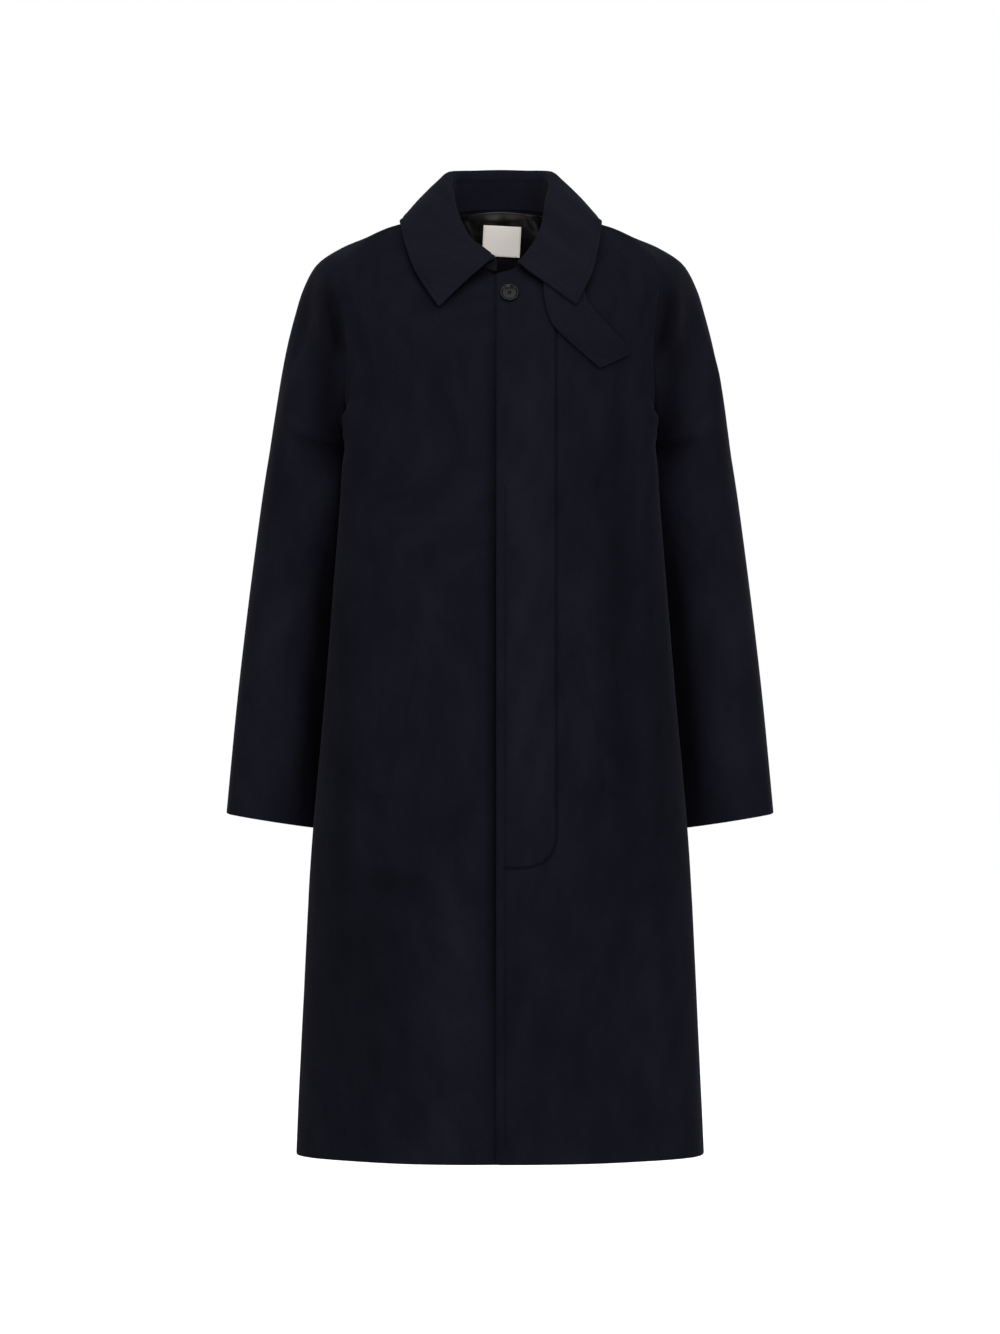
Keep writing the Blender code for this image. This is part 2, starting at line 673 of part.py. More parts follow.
def strip_on_front(tree, middle, ways, halves, columns):
    """Grid of points on the front across a strip, and a smooth outward direction for each."""
    grid, normals = [], []
    for (x, z), (way_x, way_z), half in zip(middle, ways, halves):
        row, row_normals = [], []
        for across in np.linspace(-half, half, columns + 1):
            place, normal = on_front(tree, x + way_x * across, z + way_z * across)
            row.append(place)
            row_normals.append(normal)
        grid.append(row)
        normals.append(row_normals)
    grid = np.array(grid)
    normals = np.array(normals)
    for _ in range(STRIP_SMOOTH_PASSES):
        padded = np.pad(normals, ((1, 1), (1, 1), (0, 0)), mode="edge")
        normals = unit(padded[:-2, 1:-1] + padded[2:, 1:-1] + padded[1:-1, :-2] + padded[1:-1, 2:]
                       + 2.0 * normals)
    return grid, normals


def tab_strip(tree, wider):
    """Points and outward directions on the left front along the tab, with a margin round it."""
    table = np.array(TAB, float)
    middle, half = (table[:, :2] + table[:, 2:]) / 2, (table[:, 2:] - table[:, :2]) / 2
    reach = np.linalg.norm(half, axis=1, keepdims=True)
    middle[0] += unit(middle[0] - middle[1]) * wider
    knots = lengths(middle)
    fine = through(knots, np.hstack((middle, half / reach, reach + wider)),
                   np.linspace(0.0, knots[-1], TAB_ROWS + 1))
    return strip_on_front(tree, fine[:, :2], unit(fine[:, 2:4]), fine[:, 4], TAB_COLUMNS)


def throat_tab(tree):
    """Doubled cloth that hangs from under the left leaf and lies slanting on the left front."""
    grid, normals = tab_strip(tree, 0.0)
    inner = grid + normals * LAID_ON
    wall("throat_tab", inner + normals * TAB_THICKNESS, inner, "melton")
    grid, normals = tab_strip(tree, TAB_MARGIN)
    return grid + normals * (LAID_ON + TAB_THICKNESS)


def pocket_welt(name, tree, mirrored):
    top, bottom = np.array(WELT_TOP), np.array(WELT_BOTTOM)
    middle = np.linspace(top, bottom, WELT_ROWS + 1)
    run = unit(bottom - top)
    across = np.tile((-run[1], run[0]), (len(middle), 1))
    halves = np.full(len(middle), WELT_WIDTH / 2)
    grid, normals = strip_on_front(tree, middle, across, halves, WELT_COLUMNS)
    inner = grid + normals * LAID_ON
    outer = inner + normals * WELT_THICKNESS
    wall(name, outer, inner, "melton", mirrored)


def neck_button(tree):
    """A turned button with a raised rim and a dished middle."""
    place, normal = on_front(tree, BUTTON_X, BUTTON_Z)
    side_way = unit(np.cross(normal, (0, 0, 1)))
    up_way = np.cross(side_way, normal)
    seat = place + normal * LAID_ON
    points = [seat + normal * BUTTON_PROFILE[0][1]]
    for radius, height in BUTTON_PROFILE[1:-1]:
        for angle in 2 * np.pi * np.arange(BUTTON_SIDES) / BUTTON_SIDES:
            around = np.cos(angle) * side_way + np.sin(angle) * up_way
            points.append(seat + normal * height + radius * around)
    points.append(seat + normal * BUTTON_PROFILE[-1][1])
    faces = []
    rings = len(BUTTON_PROFILE) - 2
    for step in range(BUTTON_SIDES):
        after = (step + 1) % BUTTON_SIDES
        faces.append((0, 1 + step, 1 + after))
        for ring in range(rings - 1):
            a = 1 + ring * BUTTON_SIDES
            b = a + BUTTON_SIDES
            faces.append((a + step, b + step, b + after, a + after))
        last = 1 + (rings - 1) * BUTTON_SIDES
        faces.append((last + step, len(points) - 1, last + after))
    add_object("neck_button", np.array(points) * MM, faces, "button")


# Collar

def shift_to_left():
    """The closure lies toward the wearer's left, and more so near the front ends."""
    return COLLAR_TO_LEFT * np.linspace(0.0, 1.0, COLLAR_COLUMNS + 1) ** TO_LEFT_POWER


def half_line(table, left):
    line = places_along(smooth_line(table), np.linspace(0.0, 1.0, COLLAR_COLUMNS + 1))
    line[:, 0] += shift_to_left() * (1 if left else -1)
    return line


def half_neckline(left):
    """The panels' neckline from the centre back to the collar's front end."""
    front, fore, aft, back = yoke_row(0.0)
    front = front_points(front, LEFT_FRONT_STOPS)
    line = joined(front, spaced(fore, SLEEVE_COLUMNS), spaced(aft, SLEEVE_COLUMNS),
                  spaced(back, BACK_COLUMNS))[::-1]
    line = places_along(line, np.linspace(0.0, 1.0, NECKLINE_SAMPLES))
    end = COLLAR_END + COLLAR_TO_LEFT * (1 if left else -1)
    line = line[~((line[:, 1] < 0) & (line[:, 0] < end))]
    return places_along(line, np.linspace(0.0, 1.0, COLLAR_COLUMNS + 1))


def whole_round(halves):
    """A line from the left front end round the back to the right front end."""
    left, right = halves
    return np.vstack((left[::-1], right[1:] * np.array((-1.0, 1.0, 1.0))))


def collar_lines():
    neckline = whole_round([half_neckline(left) for left in (True, False)])
    stand_top = whole_round([half_line(STAND_TOP, left) for left in (True, False)])
    edge = whole_round([half_line(FALL_EDGE, left) for left in (True, False)])
    return neckline, stand_top, edge


def collar_stand():
    bottom, top, _ = collar_lines()
    bottom = bottom + unit(top - bottom) * LAID_ON
    outer = np.array([bottom + (top - bottom) * share for share in (1.0, 0.5, 0.0)])
    inner = outer - grid_normals(outer) * STAND_THICKNESS
    wall("collar_stand", outer, inner, "melton")
    return outer, inner


def fall_section(start, rise, outward, roll_rise, edge, fullness):
    """The visible side of the fall, up from the stand, over the roll and down to its edge, and the
    middle of the roll."""
    centre = start + rise * (roll_rise - ROLL_RADIUS) + outward * ROLL_RADIUS
    straight = unit(edge - centre)
    leaves = np.arctan2(np.dot(straight, outward), -np.dot(straight, rise)) + fullness
    turn = np.linspace(0.0, np.pi - leaves, ROLL_STEPS)[:, None]
    over = centre - ROLL_RADIUS * np.cos(turn) * outward + ROLL_RADIUS * np.sin(turn) * rise
    far = np.linalg.norm(edge - over[-1])
    level = np.cross(outward, rise)
    away = np.sin(leaves) * outward - np.cos(leaves) * rise + level * np.dot(straight, level)
    arrives = unit(2.0 * unit(edge - over[-1]) - unit(away))
    down = bend(over[-1], away, far * FALL_HANDLE, edge, arrives, far * FALL_HANDLE)
    return joined(np.vstack((start, over)), down), centre


def collar_fall(stand, tree):
    outer, inner = stand
    edge = collar_lines()[2]
    count = outer.shape[1]
    toward_back = 1.0 - np.abs(np.linspace(-1.0, 1.0, count))
    sections, centres = [], []
    for i in range(count):
        rise = unit(inner[0, i] - inner[-1, i])
        outward = unit(outer[0, i] - inner[0, i])
        outward = unit(outward - rise * np.dot(outward, rise))
        grown = smooth_step(2 * toward_back[i])
        roll_rise = ROLL_RISE_FRONT + (ROLL_RISE_BACK - ROLL_RISE_FRONT) * grown
        start = inner[0, i] + rise * SEAM_GAP * 1.5
        section, centre = fall_section(start, rise, outward, roll_rise, edge[i], FALL_FULLNESS * grown)
        sections.append(spaced_fall(section))
        centres.append(centre)
    rows = np.transpose(np.array(sections), (1, 0, 2))
    rows = lifted_clear(rows, tree)
    normals = grid_normals(rows)
    normals[0] = unit(inner[0] - outer[0])
    normals[1:-LEAF_ROWS] = unit(rows[1:-LEAF_ROWS] - np.array(centres))
    wall("collar_fall", rows, rows - normals * FALL_THICKNESS, "melton")


def spaced_fall(line):
    """Close points over the roll and even ones down the leaf."""
    along = lengths(line)
    over = along[1:ROLL_STEPS + 1:2]
    leaf = np.linspace(over[-1] + ROLL_TO_LEAF, along[-1], LEAF_ROWS)
    wanted = np.concatenate(([0.0], over, leaf))
    return np.stack([np.interp(wanted, along, line[:, axis]) for axis in range(3)], axis=1)


def lifted_clear(rows, tree):
    """The fall's leaf moved out until its underside clears what it lies on."""
    clear = FALL_CLEAR + FALL_THICKNESS
    lift = np.zeros(rows.shape)
    top = LIFTED_FROM_ROW
    for _ in range(LIFT_PASSES):
        for r in range(top, rows.shape[0]):
            for c in range(rows.shape[1]):
                point = Vector(rows[r, c] + lift[r, c])
                near, normal, _, _ = tree.find_nearest(point)
                away = point - near
                height = away.dot(normal)
                beside = (away - normal * height).length
                if height < clear and beside < LIFT_BESIDE:
                    lift[r, c] += np.array(normal) * (clear - height)
        even = lift.copy()
        even[top:-1, 1:-1] = (lift[top - 1:-2, 1:-1] + lift[top + 1:, 1:-1]
                              + lift[top:-1, :-2] + lift[top:-1, 2:]) / 4
        larger = np.linalg.norm(even, axis=-1) > np.linalg.norm(lift, axis=-1)
        lift[larger] = even[larger]
    return rows + lift


# Neck inside

def lining_piece(name, shell, rows, mirrored=False):
    """Satin that follows the inside of a panel, down to a row."""
    _, points, ways = (layer[:rows + 1] for layer in shell)
    outer = points - ways * LAID_ON
    outer = drawn_in(outer, ways, SEAM_GAP, ("first", "last"))
    inner = outer - ways * LINING_THICKNESS
    wall(name, outer, inner, "satin", mirrored)
    return inner


def neck_label(lining):
    """Its back lies on the lining; its face looks forward out of the neck."""
    tree = tree_of(lining)
    x_middle, z_middle = LABEL_CENTRE
    width, height = LABEL_SIZE
    rows = []
    for z in np.linspace(z_middle + height / 2, z_middle - height / 2, LABEL_ROWS + 1):
        row = []
        for x in np.linspace(x_middle - width / 2, x_middle + width / 2, LABEL_COLUMNS + 1):
            place, _, _, _ = tree.ray_cast(Vector((x, INSIDE_NECK_Y, z)), Vector((0.0, 1.0, 0.0)))
            row.append(np.array(place))
        rows.append(row)
    back = np.array(rows) - np.array((0.0, LAID_ON, 0.0))
    face = back - np.array((0.0, LABEL_THICKNESS, 0.0))
    wall("neck_label", face, back, "label")


def build():
    clear_scene()
    shells = body_panels()
    left_tree = tree_of(shells["front_left"][0])
    right_tree = tree_of(shells["front_right"][0])
    outer = [shells[name][0] for name in shells if "right" not in name]
    outer += [mirror(shells[name][0]) for name in shells if "right" in name]
    stand = collar_stand()
    tab = throat_tab(left_tree)
    collar_fall(stand, tree_of(*outer, tab))
    neck_button(left_tree)
    pocket_welt("pocket_welt_left", left_tree, False)
    pocket_welt("pocket_welt_right", right_tree, True)
    lining = lining_piece("back_neck_lining", shells["back"], BACK_LINING_ROWS)
    for side in ("left", "right"):
        lining_piece(f"sleeve_{side}_lining", shells[f"sleeve_{side}_back"], SLEEVE_LINING_ROWS,
                     side == "right")
    neck_label(lining)


build()
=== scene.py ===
import math

import bpy
import numpy as np
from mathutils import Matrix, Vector
from mathutils.bvhtree import BVHTree


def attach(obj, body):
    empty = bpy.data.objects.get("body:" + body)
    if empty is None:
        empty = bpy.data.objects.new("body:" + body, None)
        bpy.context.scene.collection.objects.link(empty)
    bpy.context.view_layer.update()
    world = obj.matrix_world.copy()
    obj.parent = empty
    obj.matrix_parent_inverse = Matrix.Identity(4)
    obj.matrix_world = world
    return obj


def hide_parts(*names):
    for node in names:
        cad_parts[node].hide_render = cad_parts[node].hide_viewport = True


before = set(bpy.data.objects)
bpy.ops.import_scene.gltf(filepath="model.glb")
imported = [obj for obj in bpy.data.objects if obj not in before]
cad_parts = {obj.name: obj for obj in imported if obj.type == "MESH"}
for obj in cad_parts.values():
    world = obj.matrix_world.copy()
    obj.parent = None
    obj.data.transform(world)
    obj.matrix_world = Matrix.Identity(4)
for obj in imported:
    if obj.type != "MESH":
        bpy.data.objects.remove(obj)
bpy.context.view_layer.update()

MM = 0.001


# Back
# One wide panel of navy-black melton, a fulled wool so dense that its weave has gone, with a
# brushed nap that lies downward. It hangs in soft flutes from the shoulder blades to the hem.

MELTON_WALL = 2.6 * MM
CLOTH_CELL = 5.0 * MM
TURNED_EDGE = (1.6, 3.6, 6.0, 9.0, 13.0)
SEWN_EDGE = (1.6, 3.4, 6.0, 9.5, 14.0)
SEWN_REACH = MELTON_WALL / 2 + 1.3 * MM
SAME_POINT = 0.02 * MM
SLACK = 0.004 * MM
SAME_FACE = math.cos(math.radians(62))
RIM_ANGLES = (0.5, 1.05, math.pi / 2, 2.09, 2.64)
MOST_FOR_EDGES = 0.9
CREASE_ENDS = 0.35
STILL_STEPS = 6
NAVY = (0.0013, 0.0013, 0.0024)
NAVY_WORN = (0.0023, 0.0023, 0.0038)
LINT = (0.009, 0.009, 0.012)
MELTON_ROUGHNESS = 0.95
MELTON_SPECULAR = 0.008
SHEEN = 0.009
SHEEN_ROUGHNESS = 0.42
SHEEN_TINT = (0.66, 0.64, 0.80, 1.0)
MOTTLE_SPOTS = (26, 14, 4.0)
FIBRE_SPOTS = (1500, 520, 2.0)
WORN_FROM, WORN_TO = 0.12, 0.42
FLECKS_TO_METRE = 22.0
FLECK_SIZE = 0.011
NAP_SPOTS = (900, 380, 4.0, 0.65)
NAP_RELIEF = 0.42 * MM
LUMP_SPOTS = (110, 60, 3.0)
LUMP_RELIEF = 0.9 * MM


def unit(vectors):
    return vectors / np.maximum(np.linalg.norm(vectors, axis=-1, keepdims=True), 1e-12)


def eased(value):
    value = np.clip(value, 0.0, 1.0)
    return value * value * (3.0 - 2.0 * value)


def grid_normals(grid):
    return unit(np.cross(np.gradient(grid, axis=0), np.gradient(grid, axis=1)))


def in_rows(triangles):
    """Puts the triangles of one face of a piece into rows and columns of point numbers."""
    beyond, round_point = {}, {}
    for triangle in triangles:
        for k in range(3):
            a, b, c = triangle[k], triangle[(k + 1) % 3], triangle[(k + 2) % 3]
            beyond.setdefault(frozenset((a, b)), []).append(c)
            round_point.setdefault(a, set()).update((b, c))
    rim = {}
    for edge, third in beyond.items():
        if len(third) == 1:
            a, b = edge
            rim.setdefault(a, []).append(b)
            rim.setdefault(b, []).append(a)
    start = min(p for p in rim if len(round_point[p]) == 3)
    edges = []
    for second in rim[start]:
        line = [start, second]
        while len(round_point[line[-1]]) == 4:
            line.append(next(p for p in rim[line[-1]] if p != line[-2]))
        edges.append(line)
    top, side = edges
    rows = [top]
    for left in side[1:]:
        above, row, used = rows[-1], [left], None
        for c in range(len(top) - 1):
            row.append(next(p for p in beyond[frozenset((above[c], row[c]))] if p != used))
            used = above[c]
        rows.append(row)
    return np.array(rows)


def cut_piece(node, facing, thickness=None):
    """Both faces of a cut piece in rows and columns, the one that faces that way first."""
    mesh = bpy.data.objects[node].data
    points = np.array([v.co for v in mesh.vertices], float)
    _, first, same = np.unique(np.round(points / SAME_POINT).astype(int), axis=0,
                               return_index=True, return_inverse=True)
    place = points[first]
    triangles = same.ravel()[np.array([p.vertices for p in mesh.polygons])]
    if thickness:
        corners = place[triangles]
        sides = np.linalg.norm(corners - np.roll(corners, -1, axis=1), axis=2)
        triangles = triangles[(np.abs(sides - thickness) > SLACK).all(axis=1)]
    a, b, c = np.moveaxis(place[triangles], 1, 0)
    ways = unit(np.cross(b - a, c - a))
    beside = {}
    for number, triangle in enumerate(triangles):
        for k in range(3):
            beside.setdefault(frozenset((triangle[k], triangle[k - 1])), []).append(number)
    group = np.full(len(triangles), -1)
    for seed in range(len(triangles)):
        reached = [(seed, seed)] if group[seed] < 0 else []
        while reached:
            before, here = reached.pop()
            if group[here] < 0 and np.dot(ways[before], ways[here]) > SAME_FACE:
                group[here] = seed
                for k in range(3):
                    edge = frozenset((triangles[here][k], triangles[here][k - 1]))
                    reached.extend((here, other) for other in beside[edge])
    seeds, counts = np.unique(group, return_counts=True)
    sheets = []
    for seed in seeds[np.argsort(-counts)[:2]]:
        grid = place[in_rows(triangles[group == seed].tolist())]
        rise_down = (grid[-1] - grid[0]).mean(axis=0)[2]
        rise_across = (grid[:, -1] - grid[:, 0]).mean(axis=0)[2]
        if abs(rise_across) > abs(rise_down):
            grid, rise_down = np.swapaxes(grid, 0, 1), rise_across
        if rise_down > 0:
            grid = grid[::-1]
        turned = np.cross(b - a, c - a)[group == seed].sum(axis=0) @ facing
        sheets.append((float(turned), grid))
    sheets.sort(key=lambda sheet: -sheet[0])
    face, back = sheets[0][1], sheets[1][1]
    if np.linalg.norm(face[0, 0] - back[0, 0]) > np.linalg.norm(face[0, 0] - back[0, -1]):
        back = back[:, ::-1]
    if np.sum(grid_normals(face) * (face - back)) < 0:
        face, back = face[:, ::-1], back[:, ::-1]
    return face, back


def smooth_line(points, places):
    """A smooth curve through the points, read at distances from its start."""
    knots = np.concatenate(([0.0], np.cumsum(np.linalg.norm(np.diff(points, axis=0), axis=1))))
    slopes = np.gradient(points, knots, axis=0)
    low = np.clip(np.searchsorted(knots, places, side="right") - 1, 0, len(knots) - 2)
    span = (knots[low + 1] - knots[low])[:, None]
    s = (places - knots[low])[:, None] / span
    return ((2 * s**3 - 3 * s**2 + 1) * points[low] + (s**3 - 2 * s**2 + s) * span * slopes[low]
            + (3 * s**2 - 2 * s**3) * points[low + 1] + (s**3 - s**2) * span * slopes[low + 1])


def resampled(grid, start, end, count):
    """Each row read at set distances from its two ends, and at so many even steps between them."""
    rows = []
    for row in grid:
        span = np.linalg.norm(np.diff(row, axis=0), axis=1).sum()
        fit = min(1.0, MOST_FOR_EDGES * span / (start[-1] + end[-1]))
        middle = np.linspace(start[-1] * fit, span - end[-1] * fit, count + 1)[1:-1]
        rows.append(smooth_line(row, np.concatenate((start * fit, middle, span - end[::-1] * fit))))
    return np.array(rows)


def fine_faces(face, back, sides, cell):
    """Both faces of a piece with close rows along the edges: top, bottom, first and last."""
    top, bottom, first, last = (np.array(side) * MM for side in sides)
    width = np.linalg.norm(np.diff(face, axis=1), axis=2).sum(axis=1).mean()
    height = np.linalg.norm(np.diff(face, axis=0), axis=2).sum(axis=0).mean()
    across = max(2, round((width - first[-1] - last[-1]) / cell))
    down = max(2, round((height - top[-1] - bottom[-1]) / cell))
    fine = []
    for grid in (face, back):
        grid = resampled(grid, first, last, across)
        fine.append(np.swapaxes(resampled(np.swapaxes(grid, 0, 1), top, bottom, down), 0, 1))
    return fine


def border(count_down, count_across):
    """The places round the rim of a grid, each as its row and column."""
    down, across = count_down - 1, count_across - 1
    places = [(0, c) for c in range(across)] + [(r, across) for r in range(down)]
    places += [(down, c) for c in range(across, 0, -1)] + [(r, 0) for r in range(down, 0, -1)]
    return np.array(places)


def cells(rows, columns):
    """The point numbers of a grid, and the four corners of each of its cells."""
    number = np.arange(rows * columns).reshape(rows, columns)
    corners = (number[:-1, :-1], number[1:, :-1], number[1:, 1:], number[:-1, 1:])
    return number, np.stack(corners, axis=-1).reshape(-1, 4)


def mesh_piece(name, points, faces, material):
    """A smoothly shaded piece made of points and faces."""
    mesh = bpy.data.meshes.new(name)
    mesh.from_pydata(points, [], faces)
    mesh.materials.append(material)
    mesh.shade_smooth()
    piece = bpy.data.objects.new(name, mesh)
    bpy.context.scene.collection.objects.link(piece)
    return piece


def sewn_wall(name, face, back, reach, material):
    """A closed wall of cloth with a rounded rim, as a turned and pressed edge has."""
    rows, columns = face.shape[:2]
    number, quads = cells(rows, columns)
    ring = border(rows, columns)
    down, across = unit(np.gradient(face, axis=0)), unit(np.gradient(face, axis=1))
    out = np.zeros(face.shape)
    out[0] -= down[0]
    out[-1] += down[-1]
    out[:, 0] -= across[:, 0]
    out[:, -1] += across[:, -1]
    out = unit(out[ring[:, 0], ring[:, 1]])
    upper, lower = face[ring[:, 0], ring[:, 1]], back[ring[:, 0], ring[:, 1]]
    middle, half = (upper + lower) / 2, (upper - lower) / 2
    points = [face.reshape(-1, 3), back.reshape(-1, 3)]
    strips = [number[ring[:, 0], ring[:, 1]]]
    for k, angle in enumerate(RIM_ANGLES):
        points.append(middle + half * math.cos(angle) + out * reach * math.sin(angle))
        strips.append(np.arange(len(ring)) + 2 * rows * columns + k * len(ring))
    strips.append(strips[0] + rows * columns)
    faces = [quads, quads[:, ::-1] + rows * columns]
    for strip, beyond in zip(strips[:-1], strips[1:]):
        faces.append(np.stack((strip, np.roll(strip, -1), np.roll(beyond, -1), beyond), axis=1))
    points, faces = np.concatenate(points).tolist(), np.concatenate(faces).tolist()
    return mesh_piece(name, points, faces, material)


def node_of(tree, kind, **settings):
    """A shader node with its sockets and settings filled in by name."""
    made = tree.nodes.new(kind)
    for key, value in settings.items():
        socket = made.inputs.get(key.replace("_", " ")) if key not in dir(made) else None
        if socket is None:
            setattr(made, key, value)
        else:
            socket.default_value = value
    return made


def wired(tree, source, output, target, entry):
    tree.links.new(source.outputs[output], target.inputs[entry])


def bare_material(name, colour, roughness, specular):
    material = bpy.data.materials.new(name)
    material.use_nodes = True
    shader = material.node_tree.nodes["Principled BSDF"]
    shader.inputs["Base Color"].default_value = (*colour, 1.0)
    shader.inputs["Roughness"].default_value = roughness
    shader.inputs["Specular IOR Level"].default_value = specular
    return material, material.node_tree, shader


def spots(tree, across, down, detail=3.0, roughness=0.55):
    """A noise with so many spots to the metre across and down the cloth."""
    place = node_of(tree, "ShaderNodeUVMap", uv_map="cloth")
    stretch = node_of(tree, "ShaderNodeMapping", Scale=(across, down, 1.0))
    noise = node_of(tree, "ShaderNodeTexNoise", Scale=1.0, Detail=detail, Roughness=roughness)
    wired(tree, place, "UV", stretch, "Vector")
    wired(tree, stretch, "Vector", noise, "Vector")
    return noise


def raised(tree, shader, height, distance, below=None):
    """Bumps the shader by a height, on top of another bump where one is given."""
    bump = node_of(tree, "ShaderNodeBump", Distance=distance)
    wired(tree, height, 0, bump, "Height")
    if below:
        wired(tree, below, "Normal", bump, "Normal")
    wired(tree, bump, "Normal", shader, "Normal")
    return bump


def mixed(tree, first, second, factor):
    """A colour that runs from the first to the second by a factor."""
    tone = node_of(tree, "ShaderNodeMix", data_type="RGBA")
    tone.inputs["A"].default_value = (*first, 1.0)
    tone.inputs["B"].default_value = (*second, 1.0)
    wired(tree, factor, 0, tone, "Factor")
    return tone


def shaded_by_painted_light(tree, tone):
    """The colour made lighter or darker by the painted light and shade laid on the piece."""
    nap_and_painted_light = node_of(tree, "ShaderNodeAttribute", attribute_name="nap_and_painted_light")
    scale = node_of(tree, "ShaderNodeMath", operation="ADD")
    wired(tree, nap_and_painted_light, "Fac", scale, 0)
    scale.inputs[1].default_value = 1.0
    shaded = node_of(tree, "ShaderNodeVectorMath", operation="SCALE")
    wired(tree, tone, "Result", shaded, "Vector")
    wired(tree, scale, 0, shaded, "Scale")
    return shaded


def melton(name, colour, worn):
    """Dense wool: mottled by its fibres, with stray lint, a short nap and a soft uneven surface,
    and its colour lightened and darkened by painted light and shade.
    """
    material, tree, shader = bare_material(name, colour, MELTON_ROUGHNESS, MELTON_SPECULAR)
    shader.inputs["Sheen Weight"].default_value = SHEEN
    shader.inputs["Sheen Roughness"].default_value = SHEEN_ROUGHNESS
    shader.inputs["Sheen Tint"].default_value = SHEEN_TINT
    mottle = spots(tree, *MOTTLE_SPOTS)
    fibre = spots(tree, *FIBRE_SPOTS)
    both = node_of(tree, "ShaderNodeMath", operation="MULTIPLY")
    wired(tree, mottle, 0, both, 0)
    wired(tree, fibre, 0, both, 1)
    ramp = node_of(tree, "ShaderNodeMapRange", From_Min=WORN_FROM, From_Max=WORN_TO)
    wired(tree, both, 0, ramp, "Value")
    tone = mixed(tree, colour, worn, ramp)
    place = node_of(tree, "ShaderNodeUVMap", uv_map="cloth")
    flecks = node_of(tree, "ShaderNodeTexVoronoi", Scale=FLECKS_TO_METRE)
    wired(tree, place, "UV", flecks, "Vector")
    fleck = node_of(tree, "ShaderNodeMath", operation="LESS_THAN")
    fleck.inputs[1].default_value = FLECK_SIZE
    wired(tree, flecks, "Distance", fleck, 0)
    linty = mixed(tree, colour, LINT, fleck)
    wired(tree, shaded_by_painted_light(tree, tone), "Vector", linty, "A")
    wired(tree, linty, "Result", shader, "Base Color")
    nap_and_painted_light = raised(tree, shader, spots(tree, *NAP_SPOTS), NAP_RELIEF)
    raised(tree, shader, spots(tree, *LUMP_SPOTS), LUMP_RELIEF, nap_and_painted_light)
    return material


def cloth_distances(face):
    """How far each point lies along the cloth from the first edge, and from the top."""
    across = np.pad(np.linalg.norm(np.diff(face, axis=1), axis=2), ((0, 0), (1, 0)))
    down = np.pad(np.linalg.norm(np.diff(face, axis=0), axis=2), ((1, 0), (0, 0)))
    return np.cumsum(across, axis=1), np.cumsum(down, axis=0)


def over_wall(values):
    """The values of a grid's points, given to both faces and to the rim of its wall."""
    ring = border(*values.shape[:2])
    rim = values[ring[:, 0], ring[:, 1]]
    flat = values.reshape(-1, *values.shape[2:])
    return np.concatenate([flat, flat] + [rim] * len(RIM_ANGLES))


def with_cloth_map(piece, face):
    """A map of the cloth in metres: across from the first edge, and down from the top."""
    across, down = cloth_distances(face)
    places = over_wall(np.stack((across, -down), axis=-1))
    layer = piece.data.uv_layers.new(name="cloth")
    corners = np.zeros(len(piece.data.loops), dtype=int)
    piece.data.loops.foreach_get("vertex_index", corners)
    layer.data.foreach_set("uv", places[corners].astype(np.float32).ravel())


def with_painted_light(piece, nap_and_painted_light):
    """The painted light and shade at each point of the piece: how much lighter or darker its colour
    is made.
    """
    layer = piece.data.attributes.new(name="nap_and_painted_light", type="FLOAT", domain="POINT")
    layer.data.foreach_set("value", over_wall(nap_and_painted_light).astype(np.float32))


NAVY_MELTON = melton("navy melton", NAVY, NAVY_WORN)


def strokes(face, table):
    """The sum of listed soft strokes: start x and z, end x and z, width, and amount."""
    total = np.zeros(face.shape[:2])
    for start_x, start_z, end_x, end_z, width, amount in table:
        start = np.array((start_x, start_z)) * MM
        run = np.array((end_x - start_x, end_z - start_z)) * MM
        beside = face[..., (0, 2)] - start
        along = beside @ run / (run @ run)
        off = beside - np.clip(along, 0, 1)[..., None] * run
        ends = eased(along / CREASE_ENDS) * eased((1.0 - along) / CREASE_ENDS)
        total += amount * np.exp(-(np.linalg.norm(off, axis=-1) / (width * MM)) ** 2) * ends
    return total


def creased(face, back, table):
    """Both faces moved out or in together by soft ridges and troughs."""
    out = grid_normals(face)
    moved = strokes(face, table) * MM
    rows, columns = (np.minimum(np.arange(n), np.arange(n)[::-1]) for n in face.shape[:2])
    moved *= eased(np.minimum(rows[:, None], columns[None, :]) / STILL_STEPS)
    return face + out * moved[..., None], back + out * moved[..., None]


def from_edges(face, sides, edges):
    """How far each point lies from the nearest of the named edges of the piece."""
    across, down = cloth_distances(face)
    top, bottom, first, last = (side[0] * MM for side in sides)
    away = {"top": down + top, "bottom": down[-1:] - down + bottom,
            "first": across + first, "last": across[:, -1:] - across + last}
    return np.min([away[edge] for edge in edges], axis=0)


def swelled(face, sides, edges, swells):
    """The face moved out or in along lines beside its edges: distance, width and height."""
    away = from_edges(face, sides, edges)
    moved = np.zeros(face.shape[:2])
    for distance, width, height in swells:
        moved += height * MM * np.exp(-((away - distance * MM) / (width * MM)) ** 2)
    return face + grid_normals(face) * moved[..., None]


def cloth_panel(name, facing, thickness, sides, creases=(), cell=CLOTH_CELL):
    """Both faces of a cut piece, made fine and creased."""
    face, back = fine_faces(*cut_piece(name, facing, thickness), sides, cell)
    return creased(face, back, creases)


def finish_cloth(name, node, face, back, reach, material=NAVY_MELTON, nap_and_painted_light=0.0):
    piece = sewn_wall(name, face, back, reach, material)
    with_cloth_map(piece, face)
    # Painted light and shade: one amount for the whole piece, or one for each point.
    with_painted_light(piece, np.zeros(face.shape[:2]) + nap_and_painted_light)
    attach(piece, "root")
    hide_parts(node)
    return piece


